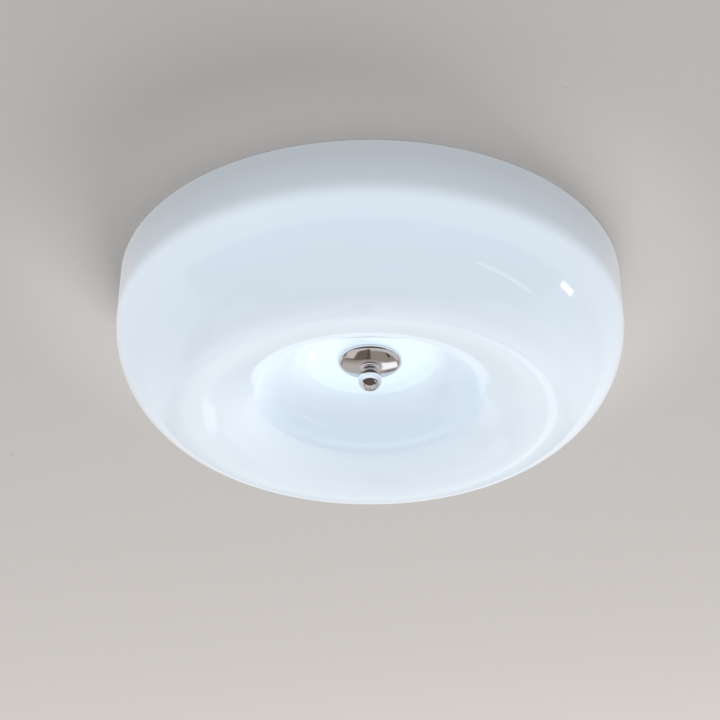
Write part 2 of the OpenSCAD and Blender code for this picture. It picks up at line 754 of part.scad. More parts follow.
module driver_transformer() {
    core = transformer_core;
    limb = core.z / 4;
    coil_stand = 2;
    color("goldenrod") at_depth(driver_board_depth) translate([driver_pos.x + transformer_x, driver_pos.y, 0]) {
        translate([-core.x / 2, -core.y / 2, 0]) difference() {
            cube(core);
            translate([-1, limb, limb]) cube([core.x + 2, core.y - 2 * limb, core.z - 2 * limb]);
        }
        translate([-core.x / 2 - coil_stand, 0, core.z / 2]) rotate([0, 90, 0])
            cylinder(d = core.z - 2 * limb, h = core.x + 2 * coil_stand);
    }
}

module driver_capacitors() {
    color("slategray") at_depth(driver_board_depth) for (c = capacitors)
        translate([driver_pos.x + c[0], driver_pos.y + c[1], 0]) cylinder(d = c[2], h = c[3]);
}

module driver_screws() {
    color("silver") at_driver_screws() at_depth(pan_seat_depth - ear_t)
        screw(screw_d, ear_t + pan_t + board_t - 0.2, screw_head_d, screw_head_h);
}

module live_lead() {
    color("saddlebrown") lead(live_route, lead_d);
}

module neutral_lead() {
    color("royalblue") lead(neutral_route, lead_d);
}

module earth_lead() {
    color("yellowgreen") lead(earth_route, lead_d);
}

module led_lead_red() {
    color("red") lead(red_route, led_lead_d);
}

module led_lead_black() {
    color("black") lead(black_route, led_lead_d);
}

module lead_grommet() {
    color("dimgray") translate([grommet_x, 0, -pan_face_depth]) {
        translate([0, 0, pan_t + grommet_flange_t]) ring(grommet_flange_d, grommet_bore_d, grommet_flange_t);
        translate([0, 0, pan_t]) ring(grommet_hole_d - 2 * thread_gap, grommet_bore_d, pan_t);
        ring(grommet_flange_d, grommet_bore_d, grommet_flange_t);
    }
}

module lead_plug() {
    color("white") difference() {
        translate([socket_x - plug_stand, -plug_side / 2, -plug_depth - plug_h / 2])
            cube([plug_l, plug_side, plug_h]);
        for (side = [-1, 1])
            translate([socket_x - plug_stand - 1, side * lead_lane, -plug_depth]) rotate([0, 90, 0])
                cylinder(r = led_lead_d / 2 + thread_gap, h = 4);
    }
}

module board_socket() {
    color("white") translate([socket_x, -socket_size.y / 2, -board_face_depth - socket_size.z]) difference() {
        cube(socket_size);
        translate([-1, socket_wall, socket_wall])
            cube([socket_size.x - socket_wall + 1, socket_size.y - 2 * socket_wall, socket_size.z - 2 * socket_wall]);
    }
}

module led_board() {
    color("white") at_depth(pan_face_depth) difference() {
        ring(board_outer_d, board_inner_d, board_t);
        translate([0, 0, -board_t - 1]) {
            at_board_screws() cylinder(r = screw_pass_r, h = board_t + 2);
            at_driver_screws() cylinder(r = screw_pass_r + 1, h = board_t + 2);
        }
    }
}

module led_chips() {
    color("khaki") at_depth(board_face_depth) at_leds() translate([-chip_w / 2, -chip_l / 2, -chip_h])
        cube([chip_w, chip_l, chip_h]);
}

module led_lenses() {
    rise = lens_h - lens_flange_t;
    dome_base_r = lens_d / 2 - 0.3;
    dome_r = (dome_base_r * dome_base_r + rise * rise) / (2 * rise);
    color("azure") at_depth(board_face_depth) at_leds() rotate_extrude($fn = 32) difference() {
        union() {
            translate([0, -lens_flange_t]) square([lens_d / 2, lens_flange_t]);
            intersection() {
                translate([0, dome_r - lens_h]) circle(r = dome_r);
                translate([0, -lens_h]) square([dome_base_r, lens_h]);
            }
        }
        circle(d = lens_hollow_d);
    }
}

module board_screws() {
    color("silver") at_board_screws() at_depth(board_face_depth) rotate([180, 0, 0])
        screw(screw_d, board_t + pan_t + screw_reach, screw_head_d, screw_head_h);
}

module centre_rod() {
    color("silver") at_depth(rod_top_depth) ring(rod_d, rod_bore_d, rod_end_depth - rod_top_depth);
}

module rod_top_nut() {
    color("silver") at_depth(pan_seat_depth - rod_washer_t - rod_nut_h)
        hex_nut(rod_nut_af, rod_thread_r, rod_nut_h);
}

module rod_top_washer() {
    color("gainsboro") at_depth(pan_seat_depth - rod_washer_t) ring(rod_washer_d, 2 * rod_pass_r, rod_washer_t);
}

module rod_bottom_washer() {
    color("gainsboro") at_depth(pan_face_depth) ring(rod_washer_d, 2 * rod_pass_r, rod_washer_t);
}

module rod_bottom_nut() {
    color("silver") at_depth(pan_face_depth + rod_washer_t) hex_nut(rod_nut_af, rod_thread_r, rod_nut_h);
}

module stop_nut() {
    color("silver") at_depth(inner_plate_depth - seat_gap - stop_nut_h)
        hex_nut(rod_nut_af, rod_thread_r, stop_nut_h);
}

module inner_plate() {
    color("silver") at_depth(inner_plate_depth) ring(inner_plate_d, 2 * rod_pass_r, inner_plate_t);
}

module inner_gasket() {
    color("lightgray") at_depth(inner_floor_depth - inner_gasket_t)
        ring(inner_gasket_d, bush_flange_d + 2 * pass_gap, inner_gasket_t);
}

module glass_bush() {
    color("snow") at_depth(inner_floor_depth) {
        translate([0, 0, bush_flange_t]) ring(bush_flange_d, 2 * rod_pass_r, bush_flange_t);
        ring(glass_hole_d - 2 * thread_gap, 2 * rod_pass_r, shade_t);
    }
}

module glass_shade() {
    round_r = shade_t / 2;
    chain = concat(
        [[rim_r, rim_gap + round_r, 90], [shade_r, wall_end_depth, 90]],
        shoulder, crest, rise, edge, dimple,
        [[floor_r, floor_depth, 0], [glass_hole_d / 2, floor_depth, 0]]
    );
    rim = [
        for (i = [1:7])
            let (a = 180 - 180 * i / 8)
                [rim_r - round_r + round_r * cos(a), round_r * sin(a) - rim_gap - round_r]
    ];
    color("aliceblue") rotate_extrude($fn = 180) polygon(concat(wall_outline(chain, shade_t), rim));
}

module cap_gasket() {
    edge_margin = 0.2;
    color("lightgray") at_depth(gasket_top_depth) ring(cap_d - 2 * edge_margin, 2 * rod_pass_r, cap_gasket_t);
}

module chrome_cap() {
    chain = concat(
        [[cap_d / 2, cap_top_depth, 90]], cap_rim, cap_shoulder, cap_dish, [[rod_pass_r, cap_seat_depth, 0]]
    );
    color("lightsteelblue") rotate_extrude($fn = 120) polygon(wall_outline(chain, cap_t));
}

module finial_washer() {
    color("dimgray") at_depth(finial_washer_depth) ring(finial_washer_d, 2 * rod_pass_r, finial_washer_t);
}

module finial() {
    neck_r = 6.4;
    color("lightsteelblue") at_depth(finial_depth) difference() {
        union() {
            rotate_extrude() {
                translate([0, -bead_h]) square([bead_d / 2 - bead_h / 2, bead_h]);
                translate([bead_d / 2 - bead_h / 2, -bead_h / 2]) circle(d = bead_h);
            }
            translate([0, 0, -ball_drop]) cylinder(r = neck_r, h = ball_drop - bead_h / 2);
            translate([0, 0, -ball_drop]) sphere(d = ball_d);
        }
        translate([0, 0, -thread_l - thread_end_gap]) cylinder(r = rod_thread_r, h = thread_l + thread_end_gap + 1);
    }
}

mounting_bar();
bar_studs();
stud_nuts();
stud_washers();
cap_nuts();
chassis_pan();
earth_stud();
earth_lug();
earth_nut();
terminal_block();
terminal_inserts();
terminal_screws();
terminal_fixing_screws();
driver_case();
driver_lid();
driver_lid_screws();
driver_board();
driver_transformer();
driver_capacitors();
driver_screws();
live_lead();
neutral_lead();
earth_lead();
led_lead_red();
led_lead_black();
lead_grommet();
lead_plug();
board_socket();
led_board();
led_chips();
led_lenses();
board_screws();
centre_rod();
rod_top_nut();
rod_top_washer();
rod_bottom_washer();
rod_bottom_nut();
stop_nut();
inner_plate();
inner_gasket();
glass_bush();
glass_shade();
cap_gasket();
chrome_cap();
finial_washer();
finial();
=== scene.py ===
"""Dresses the flush ceiling light: its glass, chrome, steel, plastics, leads and LED ring."""

import json
import logging
import math
from dataclasses import dataclass, field
from enum import Enum
from typing import Any, Iterable, Sequence

import bpy
from mathutils import Matrix, Quaternion, Vector


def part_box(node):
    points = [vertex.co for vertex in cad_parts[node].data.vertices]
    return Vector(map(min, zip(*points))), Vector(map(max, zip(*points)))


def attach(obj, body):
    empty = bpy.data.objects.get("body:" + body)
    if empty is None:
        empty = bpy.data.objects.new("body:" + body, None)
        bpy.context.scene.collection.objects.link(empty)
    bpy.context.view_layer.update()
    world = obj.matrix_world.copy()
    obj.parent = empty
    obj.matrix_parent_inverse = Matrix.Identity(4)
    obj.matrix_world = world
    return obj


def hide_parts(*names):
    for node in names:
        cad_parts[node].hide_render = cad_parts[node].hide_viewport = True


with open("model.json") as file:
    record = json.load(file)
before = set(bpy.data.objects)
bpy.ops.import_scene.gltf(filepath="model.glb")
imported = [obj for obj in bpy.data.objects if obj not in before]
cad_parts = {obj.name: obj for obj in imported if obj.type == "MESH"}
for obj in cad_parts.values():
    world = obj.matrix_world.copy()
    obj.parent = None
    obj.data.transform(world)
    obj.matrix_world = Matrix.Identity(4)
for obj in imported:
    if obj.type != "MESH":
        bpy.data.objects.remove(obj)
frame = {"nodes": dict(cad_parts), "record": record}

LOG = logging.getLogger("ceiling_light")
MM = 0.001
Colour = tuple[float, float, float]
Point = tuple[float, float, float]
Span = tuple[float, float]
METAL_EASE = 0.15 * MM
RUBBER_EASE = 0.4 * MM
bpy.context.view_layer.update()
BODY_OF = {node: body for body, nodes in frame["record"]["behaviour"]["bodies"].items() for node in nodes}
SLOT_OF = {part["node"]: part["material_slot"] for part in frame["record"]["subparts"]}


def screen(red: int, green: int, blue: int) -> Colour:
    """Turns a colour as a screen shows it, 0 to 255, into linear light.

    Args:
        red: The red value.
        green: The green value.
        blue: The blue value.

    Returns:
        The three linear values.
    """
    return tuple(
        value / 255 / 12.92 if value < 11 else ((value / 255 + 0.055) / 1.055) ** 2.4
        for value in (red, green, blue)
    )


class Wire:
    """A number that flows between shader nodes and takes part in plain arithmetic."""

    def __init__(self, recipe: "Recipe", socket: bpy.types.NodeSocket) -> None:
        """Wraps one output socket of the recipe's tree."""
        self.recipe = recipe
        self.socket = socket

    def maths(self, operation: str, *values: Any) -> "Wire":
        """Adds one Math node.

        Args:
            operation: The Math node's operation.
            values: Its inputs in order, numbers or wires.

        Returns:
            The node's result.
        """
        return self.recipe.node("ShaderNodeMath", {"operation": operation}, dict(enumerate(values)))

    def __add__(self, other: Any) -> "Wire":
        """Returns the sum."""
        return self.maths("ADD", self, other)

    def __radd__(self, other: Any) -> "Wire":
        """Returns the sum, the other number first."""
        return self.maths("ADD", other, self)

    def __sub__(self, other: Any) -> "Wire":
        """Returns the difference."""
        return self.maths("SUBTRACT", self, other)

    def __rsub__(self, other: Any) -> "Wire":
        """Returns the other number less this one."""
        return self.maths("SUBTRACT", other, self)

    def __mul__(self, other: Any) -> "Wire":
        """Returns the product."""
        return self.maths("MULTIPLY", self, other)

    def __rmul__(self, other: Any) -> "Wire":
        """Returns the product, the other number first."""
        return self.maths("MULTIPLY", other, self)

    def __lt__(self, other: Any) -> "Wire":
        """Returns 1 where this number is the smaller one, and 0 elsewhere."""
        return self.maths("LESS_THAN", self, other)

    def __gt__(self, other: Any) -> "Wire":
        """Returns 1 where this number is the greater one, and 0 elsewhere."""
        return self.maths("GREATER_THAN", self, other)

    def __abs__(self) -> "Wire":
        """Returns the size of the number without its sign."""
        return self.maths("ABSOLUTE", self)

    def step(self, start: float, end: float, low: float = 0.0, high: float = 1.0) -> "Wire":
        """Eases from one value to another.

        Args:
            start: Where the change begins.
            end: Where it ends.
            low: The result at the start.
            high: The result at the end.

        Returns:
            The eased value.
        """
        values = {"Value": self, "From Min": start, "From Max": end, "To Min": low, "To Max": high}
        return self.recipe.node("ShaderNodeMapRange", {"interpolation_type": "SMOOTHSTEP"}, values)


class Recipe:
    """The shader nodes of one material or of the world."""

    def __init__(self, tree: bpy.types.NodeTree) -> None:
        """Empties the tree."""
        self.tree = tree
        tree.nodes.clear()

    def node(self, kind: str, settings: dict[str, Any] | None = None,
             values: dict[Any, Any] | None = None, output: Any = 0) -> Wire:
        """Adds any node.

        Args:
            kind: The node's type.
            settings: Its settings, set first; "stops" holds a ramp's places and colours.
            values: The values or wires of its sockets, by name or by number.
            output: The name or the number of the socket to go on from.

        Returns:
            The wire of that output.
        """
        made = self.tree.nodes.new(kind)
        for name, value in (settings or {}).items():
            if name != "stops":
                setattr(made, name, value)
                continue
            while len(made.color_ramp.elements) < len(value):
                made.color_ramp.elements.new(1.0)
            for element, (place, colour) in zip(made.color_ramp.elements, value):
                element.position = place
                element.color = (*colour, 1.0)
        for name, value in (values or {}).items():
            self.feed(made.inputs[name], value)
        return Wire(self, made.outputs[output]) if len(made.outputs) else Wire(self, None)

    def feed(self, socket: bpy.types.NodeSocket, value: Any) -> None:
        """Gives a socket its value or its wire."""
        if isinstance(value, Wire):
            self.tree.links.new(value.socket, socket)
        elif socket.type == "RGBA" and len(value) == 3:
            socket.default_value = (*value, 1.0)
        else:
            socket.default_value = value

    def place(self) -> Wire:
        """Returns the place on the piece, in its own axes."""
        return self.node("ShaderNodeTexCoord", output="Object")

    def axes(self, vector: Wire) -> tuple[Wire, Wire, Wire]:
        """Splits a vector into its three numbers."""
        parts = self.node("ShaderNodeSeparateXYZ", values={0: vector})
        outputs = parts.socket.node.outputs
        return tuple(Wire(self, outputs[axis]) for axis in "XYZ")

    def radius(self) -> Wire:
        """Returns the distance from the lamp's axis."""
        x, y, _ = self.axes(self.place())
        square = x * x + y * y
        return square.maths("SQRT", square)

    def noise(self, scale: float, detail: float = 3.0, roughness: float = 0.5,
              stretch: Point = (1.0, 1.0, 1.0)) -> Wire:
        """Adds a smooth random pattern.

        Args:
            scale: How many waves there are in a metre.
            detail: How many finer patterns are laid over it.
            roughness: How strong the finer ones are.
            stretch: How much closer the waves lie along each axis.

        Returns:
            The pattern, around 0.5.
        """
        place = self.node("ShaderNodeMapping", values={"Vector": self.place(), "Scale": stretch})
        values = {"Vector": place, "Scale": scale, "Detail": detail, "Roughness": roughness}
        return self.node("ShaderNodeTexNoise", values=values)

    def mix(self, share: Any, first: Any, second: Any) -> Wire:
        """Mixes two colours.

        Args:
            share: How much of the second there is, 0 to 1.
            first: The first colour.
            second: The second colour.

        Returns:
            The mixed colour.
        """
        settings = {"data_type": "RGBA"}
        return self.node("ShaderNodeMix", settings, {0: share, 6: first, 7: second}, output=2)

    def tint(self, colour: Any, amount: Any) -> Wire:
        """Makes a colour lighter or darker by a number."""
        settings = {"operation": "SCALE"}
        return self.node("ShaderNodeVectorMath", settings, {0: colour, "Scale": amount})

    def bump(self, height: Wire, depth: float) -> Wire:
        """Raises the surface by a depth in metres where a pattern of 0 to 1 is high."""
        return self.node("ShaderNodeBump", values={"Height": height, "Distance": depth, "Strength": 1.0})

    def surface(self, values: dict[str, Any]) -> None:
        """Ends a material in one Principled shader with these sockets."""
        shader = self.node("ShaderNodeBsdfPrincipled", values=values)
        self.node("ShaderNodeOutputMaterial", values={"Surface": shader})


@dataclass(frozen=True)
class Finish:
    """What every finish has: a name, a colour and a gloss."""

    name: str
    colour: Colour
    roughness: float = 0.4

    def material(self) -> bpy.types.Material:
        """Returns the finish's material, made the first time it is asked for."""
        title = f"{self.name}_finish"
        found = bpy.data.materials.get(title)
        if found is None:
            found = bpy.data.materials.new(title)
            found.use_nodes = True
            self.paint(Recipe(found.node_tree))
        return found

    def paint(self, recipe: Recipe) -> None:
        """Builds the shader."""
        raise NotImplementedError


@dataclass(frozen=True)
class OpalGlass(Finish):
    """Blown opal glass that glows where the LED ring shines on it from inside."""

    glow: Colour = (0.43, 0.505, 0.588)
    dim_share: float = 0.33
    wall_depths: Span = (5 * MM, 40 * MM)
    wall_gain: float = 0.16
    shoulder_depths: Span = (34 * MM, 54 * MM)
    shoulder_gain: float = 0.5
    dimple_depths: Span = (60 * MM, 105 * MM)
    dimple_loss: float = 0.04
    crest_depths: Span = (106 * MM, 118 * MM)
    crest_loss: float = 0.10
    edge_rs: Span = (72 * MM, 90 * MM)
    rise_rs: Span = (108 * MM, 132 * MM)
    edge_loss: float = 0.02
    floor_rs: Span = (52 * MM, 55 * MM)
    spread_rs: Span = (52 * MM, 72 * MM)
    floor_glow: Colour = (0.09, 0.135, 0.15)
    wave_depth: float = 0.12 * MM

    def paint(self, recipe: Recipe) -> None:
        """Builds the shader."""
        _, _, z = recipe.axes(recipe.place())
        depth = z * -1
        cloud = recipe.noise(9.0, detail=2.0)
        near = depth.step(*self.wall_depths, 0.0, self.wall_gain)
        lit = self.dim_share + near + depth.step(*self.shoulder_depths, 0.0, self.shoulder_gain)
        far = depth.step(*self.dimple_depths, 0.0, self.dimple_loss) + depth.step(
            *self.crest_depths, 0.0, self.crest_loss)
        r = recipe.radius()
        dip = r.step(*self.edge_rs) * r.step(*self.rise_rs, self.edge_loss, 0.0)
        glow = recipe.tint(self.glow, (lit - far - dip) * (0.99 + 0.02 * cloud))
        floor = r.step(*self.floor_rs, 0.5, 0.0) + r.step(*self.spread_rs, 0.5, 0.0)
        floor_glow = recipe.tint(self.floor_glow, floor)
        light = recipe.node("ShaderNodeVectorMath", {"operation": "ADD"}, {0: glow, 1: floor_glow})
        smear = recipe.noise(26.0, detail=4.0)
        wave = recipe.bump(recipe.noise(14.0, detail=0.0), self.wave_depth)
        recipe.surface({
            "Base Color": recipe.tint(self.colour, 0.97 + 0.06 * cloud),
            "Roughness": smear.step(0.35, 0.75, 0.3, 0.4),
            "Specular IOR Level": 0.1,
            "Coat Weight": smear.step(0.35, 0.75, 1.0, 0.96),
            "Coat Roughness": self.roughness,
            "Coat IOR": 1.5,
            "Coat Normal": wave,
            "Emission Color": light,
            "Emission Strength": 1.0,
            "Normal": wave,
        })


@dataclass(frozen=True)
class MirrorChrome(Finish):
    """Polished chrome with a breath of wiping marks."""

    def paint(self, recipe: Recipe) -> None:
        """Builds the shader."""
        smear = recipe.noise(220.0, detail=4.0)
        polish = recipe.noise(900.0, detail=1.0, stretch=(1.0, 1.0, 6.0))
        recipe.surface({
            "Base Color": recipe.tint(self.colour, 0.98 + 0.04 * smear),
            "Metallic": 1.0,
            "Roughness": smear.step(0.4, 0.75, self.roughness, self.roughness + 0.05),
            "Normal": recipe.bump(polish, 0.0006 * MM),
        })


@dataclass(frozen=True)
class PlatedMetal(Finish):
    """Plated or turned metal with a faint grain, cloudy shine and a warmer cast in places."""

    cast: Colour = (0.66, 0.62, 0.50)
    grain: Point = (1.0, 1.0, 1.0)
    grain_depth: float = 0.004 * MM

    def paint(self, recipe: Recipe) -> None:
        """Builds the shader."""
        cloud = recipe.noise(90.0, detail=4.0)
        grain = recipe.noise(1400.0, detail=2.0, stretch=self.grain)
        cast = recipe.mix(cloud.step(0.45, 0.8, 0.0, 0.45), self.colour, self.cast)
        recipe.surface({
            "Base Color": recipe.tint(cast, 0.92 + 0.16 * grain),
            "Metallic": 1.0,
            "Roughness": (0.75 * cloud + 0.25 * grain).step(0.3, 0.75, self.roughness, self.roughness + 0.16),
            "Normal": recipe.bump(grain, self.grain_depth),
        })


@dataclass(frozen=True)
class PowderCoat(Finish):
    """Baked powder paint with its orange peel."""

    peel_scale: float = 620.0
    peel_depth: float = 0.03 * MM

    def paint(self, recipe: Recipe) -> None:
        """Builds the shader."""
        peel = recipe.noise(self.peel_scale, detail=1.5)
        dust = recipe.noise(18.0, detail=5.0)
        recipe.surface({
            "Base Color": recipe.tint(self.colour, 0.95 + 0.08 * dust),
            "Roughness": dust.step(0.35, 0.7, self.roughness, self.roughness + 0.12),
            "IOR": 1.48,
            "Normal": recipe.bump(peel, self.peel_depth),
        })


@dataclass(frozen=True)
class MouldedPlastic(Finish):
    """Moulded or extruded plastic and rubber with a fine grain and uneven gloss."""

    grain_scale: float = 1500.0
    grain_depth: float = 0.012 * MM
    mottle: float = 0.10
    coat: float = 0.0

    def paint(self, recipe: Recipe) -> None:
        """Builds the shader."""
        grain = recipe.noise(self.grain_scale, detail=2.0)
        cloud = recipe.noise(70.0, detail=3.0)
        recipe.surface({
            "Base Color": recipe.tint(self.colour, (1.0 - self.mottle / 2) + self.mottle * cloud),
            "Roughness": (0.5 * cloud + 0.5 * grain).step(0.35, 0.7, self.roughness, self.roughness + 0.14),
            "Coat Weight": self.coat,
            "Coat Roughness": 0.12,
            "IOR": 1.5,
            "Normal": recipe.bump(grain, self.grain_depth),
        })


@dataclass(frozen=True)
class StripedSheath(Finish):
    """Wire insulation with a second colour along it, read from the tube's own UV map."""

    stripe: Colour = (0.75, 0.60, 0.02)
    stripe_share: float = 0.45

    def paint(self, recipe: Recipe) -> None:
        """Builds the shader."""
        _, around, _ = recipe.axes(recipe.node("ShaderNodeUVMap", {"uv_map": "UVMap"}))
        band = around.step(self.stripe_share - 0.02, self.stripe_share + 0.02)
        grain = recipe.noise(1200.0, detail=2.0)
        sheath = recipe.mix(band, self.stripe, self.colour)
        recipe.surface({
            "Base Color": recipe.tint(sheath, 0.92 + 0.14 * grain),
            "Roughness": grain.step(0.35, 0.7, self.roughness, self.roughness + 0.12),
            "IOR": 1.5,
            "Normal": recipe.bump(grain, 0.008 * MM),
        })


@dataclass(frozen=True)
class CircuitMask(Finish):
    """Solder mask over ring-shaped tracks, on the LED board."""

    track: Colour = (0.80, 0.80, 0.76)
    edge: Colour = (0.55, 0.56, 0.57)
    ring_rs: tuple[float, ...] = (105 * MM, 140 * MM)
    track_w: float = 9.2 * MM
    gap_w: float = 0.5 * MM
    inner_r: float = 80 * MM
    outer_r: float = 156 * MM
    rim_w: float = 0.7 * MM

    def paint(self, recipe: Recipe) -> None:
        """Builds the shader."""
        r = recipe.radius()
        speck = recipe.noise(800.0, detail=2.0)
        cloud = recipe.noise(30.0, detail=3.0)
        groove: Any = 0.0
        copper: Any = 0.0
        for ring_r in self.ring_rs:
            away = abs(r - ring_r)
            copper = copper + (away < self.track_w)
            groove = groove + (abs(away - self.track_w) < self.gap_w)
            groove = groove + (away < self.gap_w)
        bare = (r < self.inner_r + self.rim_w) + (r > self.outer_r - self.rim_w)
        mask = recipe.mix(copper * 0.5, self.colour, self.track)
        mask = recipe.tint(mask, (0.96 + 0.05 * cloud) * (1.0 - 0.10 * groove))
        height = copper * 0.5 + 0.08 * speck - groove * 0.4
        recipe.surface({
            "Base Color": recipe.mix(bare, mask, self.edge),
            "Metallic": bare * 0.9,
            "Roughness": cloud.step(0.35, 0.7, self.roughness, self.roughness + 0.1),
            "Normal": recipe.bump(height, 0.05 * MM),
        })


@dataclass(frozen=True)
class LitPhosphor(Finish):
    """An LED's phosphor window, lit, in its pale frame."""

    glow: Colour = (0.86, 0.94, 1.0)
    strength: float = 5.0

    def paint(self, recipe: Recipe) -> None:
        """Builds the shader."""
        grain = recipe.noise(2600.0, detail=2.0)
        recipe.surface({
            "Base Color": recipe.tint(self.colour, 0.85 + 0.3 * grain),
            "Roughness": self.roughness,
            "Emission Color": recipe.tint(self.glow, 0.9 + 0.2 * grain),
            "Emission Strength": self.strength,
        })


@dataclass(frozen=True)
class ClearLens(Finish):
    """A clear moulded lens with the chip's light painted on it as a glow, strongest near the chip."""

    glow: Colour = (0.86, 0.94, 1.0)
    base_z: float = -40.5 * MM
    height: float = 5.2 * MM

    def paint(self, recipe: Recipe) -> None:
        """Builds the shader."""
        _, _, z = recipe.axes(recipe.place())
        flow = recipe.noise(500.0, detail=2.0)
        painted_chip_glow = (self.base_z - z).step(0.0, self.height, 0.55, 0.12)
        recipe.surface({
            "Base Color": recipe.tint(self.colour, 0.97 + 0.06 * flow),
            "Roughness": flow.step(0.3, 0.7, self.roughness, self.roughness + 0.05),
            "IOR": 1.49,
            "Transmission Weight": 0.85,
            # painted glow: the lens gets emission, strongest next to the chip, in place of the chip's light
            # passing through it
            "Emission Color": recipe.tint(self.glow, painted_chip_glow),
            "Emission Strength": 0.8,
            "Normal": recipe.bump(flow, 0.004 * MM),
        })


@dataclass(frozen=True)
class Winding(Finish):
    """Enamelled copper wound in a dark core, with painted shade in the grooves between the turns."""

    def paint(self, recipe: Recipe) -> None:
        """Builds the shader."""
        place = recipe.node("ShaderNodeMapping", values={"Vector": recipe.place(), "Scale": (1.0, 0.0, 0.0)})
        turns = recipe.node("ShaderNodeTexWave", {"wave_type": "BANDS"}, {"Vector": place, "Scale": 500.0})
        grain = recipe.noise(1300.0, detail=2.0)
        recipe.surface({
            # painted shade: the copper is darker in the bands between the turns, where the grooves between
            # the wires lie in shade
            "Base Color": recipe.tint(self.colour, 0.6 + 0.4 * turns * (0.7 + 0.6 * grain)),
            "Metallic": 0.6,
            "Roughness": grain.step(0.3, 0.7, self.roughness, self.roughness + 0.15),
            "Normal": recipe.bump(turns, 0.08 * MM),
        })


FINISHES: dict[str, Finish] = {
    "opal_glass": OpalGlass("opal_glass", (0.42, 0.445, 0.465), 0.045),
    "chrome": MirrorChrome("chrome", (0.80, 0.80, 0.81), 0.03),
    "white_steel": PowderCoat("white_steel", (0.78, 0.78, 0.765), 0.34),
    "zinc_steel": PlatedMetal("zinc_steel", (0.70, 0.71, 0.72), 0.26),
    "brass": PlatedMetal("brass", (0.78, 0.60, 0.28), 0.22, cast=(0.70, 0.48, 0.20)),
    "silicone": MouldedPlastic("silicone", (0.70, 0.73, 0.75), 0.30, grain_depth=0.004 * MM, mottle=0.06),
    "black_rubber": MouldedPlastic("black_rubber", (0.022, 0.022, 0.023), 0.52, grain_depth=0.02 * MM),
    "nylon": MouldedPlastic("nylon", (0.78, 0.77, 0.72), 0.34, mottle=0.08),
    "dark_nylon": MouldedPlastic("dark_nylon", (0.028, 0.028, 0.032), 0.36),
    "driver_plastic": MouldedPlastic("driver_plastic", (0.76, 0.76, 0.74), 0.42, 1100.0, 0.03 * MM, 0.05),
    "terminal_plastic": MouldedPlastic("terminal_plastic", (0.74, 0.69, 0.56), 0.30, mottle=0.08),
    "board_white": CircuitMask("board_white", (0.84, 0.84, 0.82), 0.30),
    "board_green": MouldedPlastic("board_green", (0.012, 0.10, 0.04), 0.22, 500.0, 0.03 * MM, 0.25),
    "led_chip": LitPhosphor("led_chip", (0.86, 0.76, 0.30), 0.45),
    "lens": ClearLens("lens", (0.95, 0.97, 0.98), 0.05),
    "copper_coil": Winding("copper_coil", (0.62, 0.26, 0.09), 0.28),
    "capacitor_sleeve": MouldedPlastic("capacitor_sleeve", (0.02, 0.025, 0.045), 0.22, 900.0, 0.006 * MM),
    "brown_wire": MouldedPlastic("brown_wire", (0.085, 0.028, 0.010), 0.30, mottle=0.2, coat=0.3),
    "blue_wire": MouldedPlastic("blue_wire", (0.020, 0.085, 0.34), 0.30, mottle=0.2, coat=0.3),
    "earth_wire": StripedSheath("earth_wire", (0.035, 0.25, 0.03), 0.30),
    "red_wire": MouldedPlastic("red_wire", (0.42, 0.012, 0.010), 0.28, mottle=0.2, coat=0.3),
    "black_wire": MouldedPlastic("black_wire", (0.012, 0.012, 0.013), 0.28, mottle=0.2, coat=0.3),
}


class Cut(Enum):
    """What a second solid does to a piece."""

    AWAY = "DIFFERENCE"
    KEEP = "INTERSECT"


@dataclass
class Outline:
    """The outline of a turned piece, as points of radius and depth with the slope there.

    Slope 90 runs straight down, 0 runs level towards the axis, and a negative slope
    rises towards the axis. Depths are counted downwards from the ceiling.
    """

    points: list[Point]

    def to(self, r: float, depth: float, slope: float) -> "Outline":
        """Goes straight to a point of a radius, a depth and a slope."""
        self.points.append((r, depth, slope))
        return self

    def arc(self, radius: float, slope: float, count: int) -> "Outline":
        """Goes on along an arc until the slope is reached.

        Args:
            radius: The arc's radius. A negative one bends it hollow.
            slope: The slope at its end, in degrees.
            count: The number of points.

        Returns:
            The outline itself.
        """
        r, depth, start = self.points[-1]
        for step in range(1, count + 1):
            now = start + (slope - start) * step / count
            here, first = math.radians(now), math.radians(start)
            self.points.append((
                r + radius * (math.sin(here) - math.sin(first)),
                depth + radius * (math.cos(here) - math.cos(first)),
                now,
            ))
        return self

    def flat(self) -> list[Span]:
        """Returns the points as radius and height."""
        return [(r, -depth) for r, depth, _ in self.points]

    def wall(self, thickness: float) -> list[Span]:
        """Returns the outline of a wall of this thickness that lies behind the points.

        Args:
            thickness: The wall's thickness.

        Returns:
            Points of radius and height, the front in order and then the back in reverse.
        """
        behind = [
            (r - thickness * math.sin(math.radians(slope)), thickness * math.cos(math.radians(slope)) - depth)
            for r, depth, slope in reversed(self.points)
        ]
        return self.flat() + behind


def rounded_end(first: Span, second: Span, count: int) -> list[Span]:
    """Rounds the end of a wall with a half circle.

    Args:
        first: The wall's last point on one side, as radius and height.
        second: Its first point on the other side.
        count: The number of points between them.

    Returns:
        The points of the half circle, to the left of the way from first to second.
    """
    centre = Vector(first).lerp(Vector(second), 0.5)
    arm = Vector(first) - centre
    turned = [Matrix.Rotation(-math.pi * step / (count + 1), 2) @ arm for step in range(1, count + 1)]
    return [tuple(centre + point) for point in turned]


